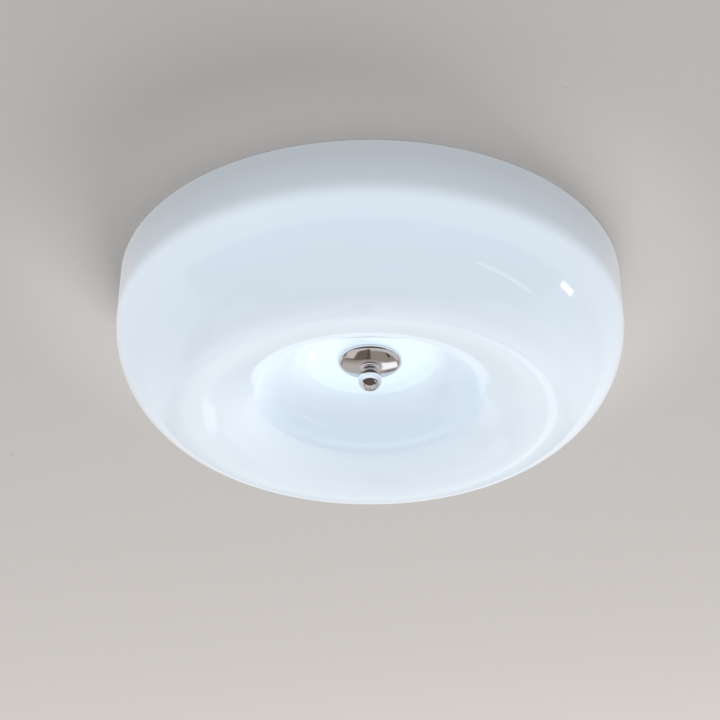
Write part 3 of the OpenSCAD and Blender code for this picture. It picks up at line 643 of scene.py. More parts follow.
class Bench:
    """The tools that every piece is made with."""

    CLOSE = 1e-6
    fitted: set[str] = set()

    @staticmethod
    def pick(piece: bpy.types.Object) -> bpy.types.Object:
        """Selects one piece and nothing else."""
        bpy.ops.object.select_all(action="DESELECT")
        piece.hide_viewport = False
        piece.select_set(True)
        bpy.context.view_layer.objects.active = piece
        return piece

    @staticmethod
    def settle(name: str) -> bpy.types.Object:
        """Names the piece at hand and puts its place into its mesh."""
        piece = bpy.context.object
        if piece.mode != "OBJECT":
            bpy.ops.object.mode_set(mode="OBJECT")
        Bench.pick(piece)
        bpy.ops.object.transform_apply(location=True, rotation=True, scale=True)
        piece.name = name
        piece.data.name = name
        return piece

    @staticmethod
    def wire(points: Sequence[Span]) -> None:
        """Draws a chain of edges in the plane of X and Z, and stays in edit mode.

        Args:
            points: The chain's points, as radius and height.
        """
        bpy.ops.object.select_all(action="DESELECT")
        bpy.ops.mesh.primitive_plane_add(size=MM, location=(points[0][0], 0.0, points[0][1]))
        bpy.ops.object.mode_set(mode="EDIT")
        bpy.ops.mesh.merge(type="CENTER")
        for (r0, z0), (r1, z1) in zip(points, points[1:]):
            bpy.ops.mesh.extrude_vertices_move(TRANSFORM_OT_translate={"value": (r1 - r0, 0.0, z1 - z0)})

    @staticmethod
    def turn(name: str, points: Sequence[Span], steps: int = 96, closed: bool = True,
             smooth: float = 35.0) -> bpy.types.Object:
        """Turns an outline round the lamp's axis, as on a lathe.

        Args:
            name: The piece's name.
            points: The outline, as radius and height.
            steps: How many steps go into a full turn.
            closed: Whether the last point joins the first.
            smooth: The angle in degrees up to which edges look round.

        Returns:
            The piece.
        """
        Bench.wire([*points, points[0]] if closed else points)
        bpy.ops.mesh.select_all(action="SELECT")
        bpy.ops.mesh.spin(steps=steps, angle=2 * math.pi, center=(0, 0, 0), axis=(0, 0, 1))
        bpy.ops.mesh.select_all(action="SELECT")
        bpy.ops.mesh.remove_doubles(threshold=Bench.CLOSE)
        bpy.ops.mesh.normals_make_consistent(inside=False)
        return Bench.round_off(Bench.settle(name), smooth)

    @staticmethod
    def round_off(piece: bpy.types.Object, angle: float = 35.0) -> bpy.types.Object:
        """Shades a piece smooth up to an angle in degrees."""
        Bench.pick(piece)
        bpy.ops.object.shade_smooth_by_angle(angle=math.radians(angle))
        return piece

    @staticmethod
    def apply(piece: bpy.types.Object, kind: str, **settings: Any) -> bpy.types.Object:
        """Adds a modifier with these settings and applies it."""
        Bench.pick(piece)
        modifier = piece.modifiers.new(kind.lower(), kind)
        for name, value in settings.items():
            setattr(modifier, name, value)
        bpy.ops.object.modifier_apply(modifier=modifier.name)
        return piece

    @staticmethod
    def bevel(piece: bpy.types.Object, width: float, segments: int = 2,
              angle: float = 40.0) -> bpy.types.Object:
        """Eases the edges that are sharper than an angle, and shades the faces flat between them."""
        Bench.apply(piece, "BEVEL", width=width, segments=segments, limit_method="ANGLE",
                    angle_limit=math.radians(angle), miter_outer="MITER_ARC")
        Bench.round_off(piece, 50.0)
        return Bench.apply(piece, "WEIGHTED_NORMAL", keep_sharp=True, weight=80)

    @staticmethod
    def carve(piece: bpy.types.Object, tool: bpy.types.Object, how: Cut = Cut.AWAY) -> bpy.types.Object:
        """Cuts a piece with a second solid, which is used up."""
        Bench.apply(piece, "BOOLEAN", operation=how.value, object=tool, solver="EXACT")
        bpy.data.objects.remove(tool)
        return piece

    @staticmethod
    def refine(node: str, bevel: float, segments: int = 2) -> bpy.types.Object:
        """Copies a CAD node's mesh, joins its triangles into faces and eases its edges.

        Args:
            node: The CAD node's name.
            bevel: The width of the eased edges.
            segments: How many faces go into one eased edge.

        Returns:
            The new piece.
        """
        piece = bpy.data.objects.new(f"{node}_finished", frame["nodes"][node].data.copy())
        bpy.context.scene.collection.objects.link(piece)
        piece.data.materials.clear()
        Bench.pick(piece)
        bpy.ops.mesh.customdata_custom_splitnormals_clear()
        bpy.ops.object.mode_set(mode="EDIT")
        bpy.ops.mesh.select_all(action="SELECT")
        bpy.ops.mesh.remove_doubles(threshold=Bench.CLOSE)
        bpy.ops.mesh.dissolve_limited(angle_limit=math.radians(0.4))
        bpy.ops.object.mode_set(mode="OBJECT")
        return Bench.bevel(piece, bevel, segments)

    @staticmethod
    def copies(piece: bpy.types.Object, spots: Iterable[Matrix]) -> bpy.types.Object:
        """Sets a piece at its own place and a copy at each further spot, all as one piece.

        Args:
            piece: The piece that is modelled once.
            spots: Where it and its copies stand.

        Returns:
            The joined piece.
        """
        made = []
        for spot in spots:
            copy = bpy.data.objects.new(piece.name, piece.data.copy())
            copy.data.transform(spot)
            bpy.context.scene.collection.objects.link(copy)
            made.append(copy)
        name = piece.name
        bpy.data.objects.remove(piece)
        bpy.ops.object.select_all(action="DESELECT")
        for copy in made:
            copy.select_set(True)
        bpy.context.view_layer.objects.active = made[0]
        bpy.ops.object.join()
        return Bench.settle(name)

    @staticmethod
    def fit(piece: bpy.types.Object, node: str, rename: str | None = None) -> bpy.types.Object:
        """Puts a finished piece in a CAD node's place, with that node's body and finish.

        Args:
            piece: The finished piece.
            node: The CAD node that it stands for.
            rename: A name to give it.

        Returns:
            The piece.
        """
        piece.name = rename or piece.name
        finish = FINISHES[SLOT_OF[node]]
        piece.data.materials.clear()
        piece.data.materials.append(finish.material())
        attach(piece, BODY_OF[node])
        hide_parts(node)
        Bench.fitted.add(node)
        LOG.info("%s stands for %s: %d faces", piece.name, node, len(piece.data.polygons))
        return piece


@dataclass
class Screwwork:
    """Threads and nuts, with their real pitch and chamfers.

    The tooth is a list of points over one pitch, as shares of its height and of the pitch.
    """

    depth_share: float = 0.61
    tooth: tuple[Span, ...] = ((0.0, 0.0), (0.0, 0.2), (1.0, 0.45), (1.0, 0.6), (0.0, 0.95), (0.0, 1.0))
    steps: int = 28
    end_chamfer: float = 0.5
    end_share: float = 0.9
    nut_rim_share: float = 0.96
    nut_chamfer: float = 30.0
    corner_room: float = 0.02 * MM
    sink: float = 0.35 * MM
    ease: float = 0.08 * MM

    def bar(self, name: str, r: float, pitch: float, low: float, high: float,
            bore_r: float = 0.0) -> bpy.types.Object:
        """Cuts a bar with a helical thread on the lamp's axis.

        Args:
            name: The piece's name.
            r: The thread's outer radius.
            pitch: The thread's pitch.
            low: The height of the bar's lower end.
            high: The height of its upper end.
            bore_r: The radius of a bore through the bar, or 0.

        Returns:
            The piece.
        """
        root_r = r - self.depth_share * pitch
        start = low - pitch
        turns = math.ceil((high - start) / pitch) + 2
        Bench.wire([(root_r + up * (r - root_r), start - pitch + share * pitch) for up, share in self.tooth])
        bpy.ops.object.mode_set(mode="OBJECT")
        piece = Bench.settle(name)
        Bench.apply(piece, "SCREW", axis="Z", screw_offset=pitch, iterations=turns, steps=self.steps,
                    render_steps=self.steps, use_merge_vertices=True, merge_threshold=Bench.CLOSE)
        bpy.ops.object.mode_set(mode="EDIT")
        bpy.ops.mesh.select_all(action="SELECT")
        bpy.ops.mesh.remove_doubles(threshold=Bench.CLOSE)
        for end, away in ((high, 1.0), (low, -1.0)):
            bpy.ops.mesh.select_all(action="SELECT")
            base = end - away * self.end_chamfer * pitch
            bpy.ops.mesh.bisect(plane_co=(0, 0, base), plane_no=(0, 0, away), clear_outer=True)
            bpy.ops.mesh.extrude_region_move(TRANSFORM_OT_translate={"value": (0, 0, end - base)})
            bpy.ops.transform.resize(value=(self.end_share, self.end_share, 1.0), center_override=(0, 0, end))
            bpy.ops.mesh.edge_face_add()
        bpy.ops.mesh.select_all(action="SELECT")
        bpy.ops.mesh.normals_make_consistent(inside=False)
        bpy.ops.object.mode_set(mode="OBJECT")
        if bore_r:
            bpy.ops.mesh.primitive_cylinder_add(vertices=64, radius=bore_r, depth=high - low + 4 * MM,
                                                location=(0, 0, (low + high) / 2))
            Bench.carve(piece, Bench.settle("bore"))
        return Bench.round_off(piece, 40.0)

    def nut(self, name: str, flats: float, bore_r: float, low: float, high: float) -> bpy.types.Object:
        """Makes a hexagon nut on the lamp's axis, with turned chamfers and a countersunk bore.

        Args:
            name: The piece's name.
            flats: The width across flats.
            bore_r: The radius of the bore.
            low: The height of its lower face.
            high: The height of its upper face.

        Returns:
            The piece.
        """
        middle, height = (low + high) / 2, high - low
        bpy.ops.object.select_all(action="DESELECT")
        bpy.ops.mesh.primitive_cylinder_add(vertices=6, radius=flats / math.sqrt(3), depth=height,
                                            location=(0, 0, middle))
        piece = Bench.settle(name)
        corner, rim = flats / math.sqrt(3) + self.corner_room, flats / 2 * self.nut_rim_share
        drop = (corner - rim) * math.tan(math.radians(self.nut_chamfer))
        shape = [(rim, high), (corner, high - drop), (corner, low + drop), (rim, low)]
        chamfers = Bench.turn("chamfers", [(0.0, high), *shape, (0.0, low)], 96, closed=False)
        Bench.carve(piece, chamfers, Cut.KEEP)
        wide_r = bore_r + self.sink
        hole = [(0.0, high + MM), (wide_r, high + MM), (wide_r, high), (bore_r, high - self.sink),
                (bore_r, low + self.sink), (wide_r, low), (wide_r, low - MM), (0.0, low - MM)]
        Bench.carve(piece, Bench.turn("hole", hole, 64, closed=False))
        return Bench.bevel(piece, self.ease, 1, 20.0)


SCREWWORK = Screwwork()


def at(x: float, y: float = 0.0) -> Matrix:
    """Returns the level move to a place."""
    return Matrix.Translation((x, y, 0.0))


@dataclass
class GlassShade:
    """The blown glass, a ring-shaped bowl with a deep dimple and a flat floor in the middle."""

    r: float = 200 * MM
    thickness: float = 4.5 * MM
    rim_gap: float = 1 * MM
    wall_end: float = 44.8 * MM
    wall_lean: float = 0.9 * MM
    shoulder_r: float = 79 * MM
    shoulder_slope: float = 33.0
    crest_r: float = 41 * MM
    rise_r: float = 93 * MM
    rise_slope: float = 33.0
    edge_r: float = 8 * MM
    dimple_slope: float = 78.0
    dimple_r: float = 37.5 * MM
    floor_slope: float = 4.0
    floor_step: float = 0.3 * MM
    hole_r: float = 6.7 * MM
    steps: int = 224

    def outline(self) -> Outline:
        """Returns the outer surface from the rim to the hole."""
        rim_r = self.r - self.wall_lean
        chain = Outline([(rim_r, self.rim_gap + self.thickness / 2, 90.0)])
        for share in (0.25, 0.5, 0.75):
            depth = self.rim_gap + share * (self.wall_end - self.rim_gap)
            chain.to(rim_r + share * self.wall_lean, depth, 90.0)
        chain.to(self.r, self.wall_end, 90.0)
        chain.arc(self.shoulder_r, self.shoulder_slope, 40).arc(self.crest_r, 0.0, 18)
        chain.arc(self.rise_r, -self.rise_slope, 28).arc(self.edge_r, -self.dimple_slope, 16)
        chain.arc(-self.dimple_r, -self.floor_slope, 34)
        r, depth, _ = chain.points[-1]
        chain.to(r - self.floor_step / 2, depth - self.floor_step * 0.7, -35.0)
        chain.to(r - self.floor_step, depth - self.floor_step, 0.0)
        for share in (0.33, 0.66):
            chain.to(r - share * (r - self.hole_r), depth - self.floor_step, 0.0)
        return chain.to(self.hole_r, depth - self.floor_step, 0.0)

    def build(self) -> None:
        """Turns the glass and fits it."""
        wall = self.outline().wall(self.thickness)
        rim = rounded_end(wall[-1], wall[0], 7)
        Bench.fit(Bench.turn("opal_glass_shade", wall + rim, self.steps, smooth=60.0), "glass_shade")


@dataclass
class CapAndFinial:
    """The chrome cap under the glass, the washer and the ball nut that holds both."""

    cap_r: float = 25.2 * MM
    cap_t: float = 0.8 * MM
    rim_r: float = 1.5 * MM
    rim_slope: float = 40.0
    shoulder_r: float = 5.8 * MM
    shoulder_slope: float = 8.0
    seat_r: float = 7 * MM
    seat_slope: float = 1.0
    bore_r: float = 5.2 * MM
    bead_r: float = 7.5 * MM
    bead_h: float = 2.8 * MM
    neck_r: float = 6.4 * MM
    ball_r: float = 9.4 * MM
    ball_drop: float = 11.9 * MM
    hole_r: float = 5.0 * MM
    hole_l: float = 10.5 * MM
    hole_turns: int = 9
    pitch: float = 1 * MM
    groove: float = 0.25 * MM
    hole_sink: float = 0.4 * MM

    def cap(self) -> None:
        """Turns the cap, a shallow spun dish with a turned-in edge."""
        top = -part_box("chrome_cap")[1].z
        edge = Outline([(self.cap_r, top, 90.0)]).arc(self.rim_r, self.rim_slope, 10)
        edge.arc(self.shoulder_r, self.shoulder_slope, 20)
        sweep = math.sin(math.radians(self.shoulder_slope)) - math.sin(math.radians(self.seat_slope))
        edge.arc((edge.points[-1][0] - self.seat_r) / sweep, self.seat_slope, 40)
        edge.to(self.bore_r, edge.points[-1][1], 0.0)
        wall = edge.wall(self.cap_t)
        lip = rounded_end(wall[-1], wall[0], 5)
        Bench.fit(Bench.turn("spun_chrome_cap", wall + lip, 160, smooth=60.0), "chrome_cap")

    def finial(self) -> None:
        """Turns the ball nut: a bead, a neck, a ball and the threaded blind hole."""
        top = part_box("finial")[1].z
        half = self.bead_h / 2
        bead = []
        for degrees in range(0, 181, 12):
            a = math.radians(degrees)
            bead.append((self.bead_r - half + half * math.sin(a), top - half + half * math.cos(a)))
        centre = top - self.ball_drop
        start = math.degrees(math.asin(self.neck_r / self.ball_r))
        count = 40
        ball = []
        for step in range(count + 1):
            a = math.radians(start + (180 - start) * step / count)
            ball.append((self.ball_r * math.sin(a), centre + self.ball_r * math.cos(a)))
        fillet_z = (bead[-1][1] + ball[0][1]) / 2
        neck = [(self.neck_r, fillet_z)]
        hole = [(0.0, top - self.hole_l), (self.hole_r, top - self.hole_l)]
        for turn in range(self.hole_turns):
            z = top - self.hole_l + (turn + 0.5) * self.pitch
            hole += [(self.hole_r, z), (self.hole_r + self.groove, z + 0.3 * self.pitch),
                     (self.hole_r, z + 0.6 * self.pitch)]
        hole.append((self.hole_r + self.hole_sink, top))
        points = hole + bead + neck + ball[:-1] + [(0.0, centre - self.ball_r)]
        Bench.fit(Bench.turn("ball_finial", points, 96, closed=False, smooth=32.0), "finial")

    def rings(self) -> None:
        """Turns the washer under the cap and the gasket above it, with eased edges."""
        Rings.turn("finial_washer", METAL_EASE, self.bore_r)
        Rings.turn("cap_gasket", RUBBER_EASE, self.bore_r)

    def build(self) -> None:
        """Makes the three pieces and the gasket."""
        self.cap()
        self.finial()
        self.rings()


class Rings:
    """Flat rings on the lamp's axis, with eased edges."""

    @staticmethod
    def turn(node: str, ease: float, bore_r: float, steps: int = 96) -> None:
        """Turns a ring that fills a CAD node's box.

        Args:
            node: The CAD node.
            ease: The radius of its edges.
            bore_r: The radius of its bore.
            steps: How many steps go into a full turn.
        """
        low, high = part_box(node)
        corners = [(bore_r, low.z), (high.x, low.z), (high.x, high.z), (bore_r, high.z)]
        signs = [(1, 1), (-1, 1), (-1, -1), (1, -1)]
        points = []
        count = 4
        for index, ((r, z), (sr, sz)) in enumerate(zip(corners, signs)):
            for step in range(count + 1):
                a = math.radians(180 + 90 * (index + step / count))
                points.append((r + ease * (sr + math.cos(a)), z + ease * (sz + math.sin(a))))
        Bench.fit(Bench.turn(f"{node}_turned", points, steps, smooth=50.0), node)


@dataclass
class Suspension:
    """The threaded rod with its nuts and washers, and the plates and bush that hold the glass."""

    rod_r: float = 4.95 * MM
    rod_bore_r: float = 3.6 * MM
    rod_pitch: float = 1.0 * MM
    rod_pass_r: float = 5.2 * MM
    nut_flats: float = 14 * MM
    gasket_bore_r: float = 9.3 * MM

    def build(self) -> None:
        """Makes the rod, the nuts and the rings."""
        low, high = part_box("centre_rod")
        rod = SCREWWORK.bar("threaded_rod", self.rod_r, self.rod_pitch, low.z, high.z, self.rod_bore_r)
        Bench.fit(rod, "centre_rod")
        for node in ("rod_top_nut", "rod_bottom_nut", "stop_nut"):
            low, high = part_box(node)
            nut = SCREWWORK.nut(f"{node}_hexagon", self.nut_flats, self.rod_r, low.z, high.z)
            Bench.fit(nut, node)
        for node in ("rod_top_washer", "rod_bottom_washer", "inner_plate"):
            Rings.turn(node, METAL_EASE, self.rod_pass_r)
        Rings.turn("inner_gasket", RUBBER_EASE, self.gasket_bore_r)
        Bench.fit(Bench.refine("glass_bush", 0.25 * MM), "glass_bush", "glass_sleeve")


@dataclass
class ChassisPan:
    """The spun steel pan with its hemmed lip and the rib pressed round its base.

    The rib is a list of points across it: shares of its half width and height, and the slope there.
    """

    thickness: float = 1 * MM
    base: float = 39 * MM
    lip_w: float = 5 * MM
    hem_r: float = 1.4 * MM
    corner_r: float = 6 * MM
    rib_r: float = 168 * MM
    rib_h: float = 1.5 * MM
    rib_w: float = 4 * MM
    rib: tuple[Point, ...] = ((0.6, 0.35, 40.0), (0.25, 0.93, 18.0), (0.0, 1.0, 0.0),
                              (-0.25, 0.93, -18.0), (-0.6, 0.35, -40.0), (-1.0, 0.0, 0.0))
    bore_r: float = 5.2 * MM
    inner_rs: tuple[float, ...] = (120 * MM, 60 * MM, 20 * MM)
    steps: int = 200

    def build(self) -> None:
        """Turns the pan and fits it."""
        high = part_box("chassis_pan")[1]
        r, top = high.x, -high.z
        chain = Outline([(r - depth, top, 180.0) for depth in (self.lip_w, 2 * self.hem_r, self.hem_r)])
        chain.arc(self.hem_r, 90.0, 6).to(r, self.base / 2, 90.0).to(r, self.base - self.corner_r, 90.0)
        chain.arc(self.corner_r, 0.0, 10)
        chain.to(self.rib_r + self.rib_w, self.base, 0.0)
        for share, lift, slope in self.rib:
            chain.to(self.rib_r + share * self.rib_w, self.base + lift * self.rib_h, slope)
        for inner_r in (*self.inner_rs, self.bore_r):
            chain.to(inner_r, self.base, 0.0)
        wall = chain.wall(self.thickness)
        lip = rounded_end(wall[-1], wall[0], 4)
        Bench.fit(Bench.turn("spun_steel_pan", wall + lip, self.steps), "chassis_pan")


@dataclass
class CeilingBar:
    """The slotted bar on the ceiling with its studs, nuts, washers and dome nuts."""

    stud_x: float = 42 * MM
    stud_r: float = 2 * MM
    stud_pitch: float = 0.7 * MM
    nut_flats: float = 7 * MM
    edge: float = 0.35 * MM

    def spots(self) -> list[Matrix]:
        """Returns the places of the two studs."""
        return [at(side * self.stud_x) for side in (-1, 1)]

    def build(self) -> None:
        """Makes the bar and its fasteners."""
        Bench.fit(Bench.refine("mounting_bar", self.edge), "mounting_bar", "slotted_ceiling_bar")
        low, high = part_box("bar_studs")
        stud = SCREWWORK.bar("threaded_studs", self.stud_r, self.stud_pitch, low.z, high.z)
        Bench.fit(Bench.copies(stud, self.spots()), "bar_studs")
        low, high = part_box("stud_nuts")
        nut = SCREWWORK.nut("stud_hexagon_nuts", self.nut_flats, self.stud_r, low.z, high.z)
        Bench.fit(Bench.copies(nut, self.spots()), "stud_nuts")
        Bench.fit(Bench.refine("stud_washers", METAL_EASE), "stud_washers", "stud_flat_washers")
        Bench.fit(Bench.refine("cap_nuts", 0.25 * MM), "cap_nuts", "dome_nuts")


@dataclass
class Wiring:
    """The driver, the terminal block, the earth point and the leads between them."""

    lead_r: float = 1.2 * MM
    led_lead_r: float = 0.8 * MM
    stud_r: float = 2 * MM
    stud_pitch: float = 0.7 * MM
    smoothness: int = 6
    edges: dict[str, float] = field(default_factory=lambda: {
        "driver_case": 0.7 * MM, "driver_lid": 0.9 * MM, "terminal_block": 0.35 * MM,
        "terminal_inserts": 0.12 * MM, "terminal_screws": 0.12 * MM, "terminal_fixing_screws": 0.1 * MM,
        "driver_lid_screws": 0.1 * MM, "driver_screws": 0.1 * MM, "earth_lug": 0.15 * MM,
        "lead_grommet": 0.4 * MM, "lead_plug": 0.25 * MM, "board_socket": 0.2 * MM,
    })
    routes: dict[str, list[Point]] = field(default_factory=lambda: {
        "live_lead": [(-52, 38, -32), (-52, 47, -32), (-60, 60, -33), (-76, 70, -33), (-87, 82, -31),
                      (-86, 96, -29), (-75, 100, -28), (-62, 100, -28), (-53, 100, -28)],
        "neutral_lead": [(-42, 38, -32), (-42, 47, -32), (-47, 58, -33), (-60, 65, -33), (-73, 71, -31),
                         (-77, 81, -29), (-71, 89, -28), (-62, 90, -28), (-53, 90, -28)],
        "earth_lead": [(-62, 38, -32), (-62, 46, -32), (-66, 54, -34), (-75, 56, -36), (-84, 52, -36),
                       (-94, 50, -36), (-104, 50, -36)],
        "led_lead_red": [(53, 93, -28), (61, 93, -28), (76, 89, -32), (84, 76, -36.8), (84, 54, -37),
                         (79, 32, -37), (70, 10, -34), (65, 1, -34), (65, 0, -39), (67.5, -0.8, -43),
                         (76, -1.1, -43), (85, -1.1, -43)],
        "led_lead_black": [(53, 97, -28), (61, 97, -28), (79, 92, -32), (87, 78, -36.8), (87, 54, -37),
                           (82, 30, -37), (73, 10, -34), (67.2, 1, -34), (67.2, 0, -39), (69.6, 0.8, -41.8),
                           (77, 1.1, -43), (85, 1.1, -43)],
    })

    def smooth(self, route: Sequence[Point]) -> list[Vector]:
        """Runs a smooth curve through a route's points.

        Args:
            route: The points, in millimetres.

        Returns:
            Points along the curve, in metres.
        """
        spots = [Vector(point) * MM for point in route]
        line = []
        for index in range(len(spots) - 1):
            before, start = spots[max(index - 1, 0)], spots[index]
            end, after = spots[index + 1], spots[min(index + 2, len(spots) - 1)]
            for step in range(self.smoothness):
                t = step / self.smoothness
                line.append(0.5 * (
                    2 * start + (end - before) * t + (2 * before - 5 * start + 4 * end - after) * t * t
                    + (3 * start - before - 3 * end + after) * t * t * t
                ))
        return [*line, spots[-1]]

    def lead(self, node: str, radius: float) -> None:
        """Lays a lead along its route.

        Args:
            node: The CAD node of the lead.
            radius: The radius over its insulation.
        """
        line = self.smooth(self.routes[node])
        curve = bpy.data.curves.new(node, "CURVE")
        curve.dimensions = "3D"
        spline = curve.splines.new("POLY")
        spline.points.add(len(line) - 1)
        for point, spot in zip(spline.points, line):
            point.co = (*spot, 1.0)
        curve.bevel_depth = radius
        curve.bevel_resolution = 4
        curve.use_fill_caps = True
        piece = bpy.data.objects.new(f"{node}_insulated", curve)
        bpy.context.scene.collection.objects.link(piece)
        Bench.pick(piece)
        bpy.ops.object.convert(target="MESH")
        Bench.fit(Bench.round_off(Bench.settle(f"{node}_insulated"), 50.0), node)

    def build(self) -> None:
        """Makes the housings, the fasteners and the leads."""
        for node, edge in self.edges.items():
            Bench.fit(Bench.refine(node, edge), node)
        for node in ("live_lead", "neutral_lead", "earth_lead"):
            self.lead(node, self.lead_r)
        for node in ("led_lead_red", "led_lead_black"):
            self.lead(node, self.led_lead_r)
        low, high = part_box("earth_stud")
        middle = (low + high) / 2
        stud = SCREWWORK.bar("earth_stud_threaded", self.stud_r, self.stud_pitch, low.z, high.z)
        Bench.fit(Bench.copies(stud, [at(middle.x, middle.y)]), "earth_stud")
        Bench.fit(Bench.refine("earth_nut", METAL_EASE), "earth_nut", "earth_flange_nut")


@dataclass
class LedRing:
    """The ring-shaped LED board with its chips, lenses and screws.

    The crown is a list of points over the lens: shares of its radius, and heights in millimetres.
    """

    lens_r: float = 6.5 * MM
    lens_h: float = 5.2 * MM
    flange_h: float = 1 * MM
    flange_step: float = 0.3 * MM
    crown: tuple[Span, ...] = ((0.97, 1.9), (0.9, 2.8), (0.79, 3.7), (0.65, 4.45), (0.5, 4.95),
                               (0.36, 5.18), (0.25, 5.2), (0.14, 5.05), (0.05, 4.9))
    crown_dip: float = 0.32 * MM
    hollow_r: float = 2.8 * MM
    rings: tuple[tuple[float, int], ...] = ((140 * MM, 24), (105 * MM, 18))
    lens_steps: int = 28

    def spots(self) -> list[Matrix]:
        """Returns the places of the LEDs on the two rings."""
        return [
            Matrix.Rotation(2 * math.pi * (index + 0.5) / count, 4, "Z") @ at(r)
            for r, count in self.rings for index in range(count)
        ]

    def lenses(self) -> None:
        """Turns one lens with a dip in its crown, and sets it over every LED."""
        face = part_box("led_lenses")[1].z
        low = face - self.lens_h
        crown_r = self.lens_r - self.flange_step
        points = [(self.hollow_r, face), (self.lens_r, face), (self.lens_r, face - self.flange_h),
                  (crown_r, face - self.flange_h)]
        points += [(share * crown_r, face - drop * MM) for share, drop in self.crown]
        points.append((0.0, low + self.crown_dip))
        hollow = []
        for step in range(7):
            a = math.radians(90 * step / 6)
            hollow.append((self.hollow_r * math.sin(a), face - self.hollow_r * math.cos(a)))
        lens = Bench.turn("moulded_lenses", points + hollow[:-1], self.lens_steps, smooth=40.0)
        Bench.fit(Bench.copies(lens, self.spots()), "led_lenses")

    def build(self) -> None:
        """Makes the board, the chips, the lenses and the screws."""
        Bench.fit(Bench.refine("led_board", METAL_EASE), "led_board", "led_ring_board")
        Bench.fit(Bench.refine("led_chips", 0.12 * MM), "led_chips", "led_packages")
        Bench.fit(Bench.refine("board_screws", 0.1 * MM), "board_screws", "board_fixing_screws")
        self.lenses()


def dress_other_nodes() -> None:
    """Gives each CAD node that no piece stands for its finish."""
    for node, piece in frame["nodes"].items():
        if node in Bench.fitted:
            continue
        piece.data.materials.clear()
        piece.data.materials.append(FINISHES[SLOT_OF[node]].material())
        LOG.info("%s keeps its CAD shape", node)


def clear_the_mirror() -> None:
    """Keeps finial, washer and rod out of the cap's mirror, where the photo shows the room alone."""
    for name in ("ball_finial", "finial_washer_turned", "threaded_rod"):
        bpy.data.objects[name].visible_glossy = False


@dataclass
class PhotoCamera:
    """The camera, below the ceiling and in front of the lamp."""

    place: Point = (0.0, -1.3915, -0.9029)
    focal_px: float = 2062.0
    frame_px: float = 720.0
    aside_px: float = 10.0
    above_px: float = 72.1
    sensor_w: float = 36.0

    def build(self) -> None:
        """Sets the camera up and makes it the scene's own."""
        data = bpy.data.cameras.new("photo_camera")
        data.sensor_width = self.sensor_w
        data.lens = self.focal_px / self.frame_px * data.sensor_width
        camera = bpy.data.objects.new("photo_camera", data)
        bpy.context.scene.collection.objects.link(camera)
        camera.location = self.place
        aim = (-Vector(self.place)).to_track_quat("-Z", "Y")
        aside = Quaternion((0, 1, 0), math.atan(self.aside_px / self.focal_px))
        above = Quaternion((1, 0, 0), -math.atan(self.above_px / self.focal_px))
        camera.rotation_mode = "QUATERNION"
        camera.rotation_quaternion = aim @ aside @ above
        bpy.context.scene.camera = camera
        LOG.info("camera at %s, lens %.1f mm", self.place, data.lens)


@dataclass(frozen=True)
class RoomPatch:
    """A lighter or darker patch of the room, as the chrome mirrors it.

    Directions are in degrees: the azimuth from +Y towards +X, and the elevation above level.
    """

    azimuth: Span
    elevation: Span
    colour: Colour
    soft: float = 0.8


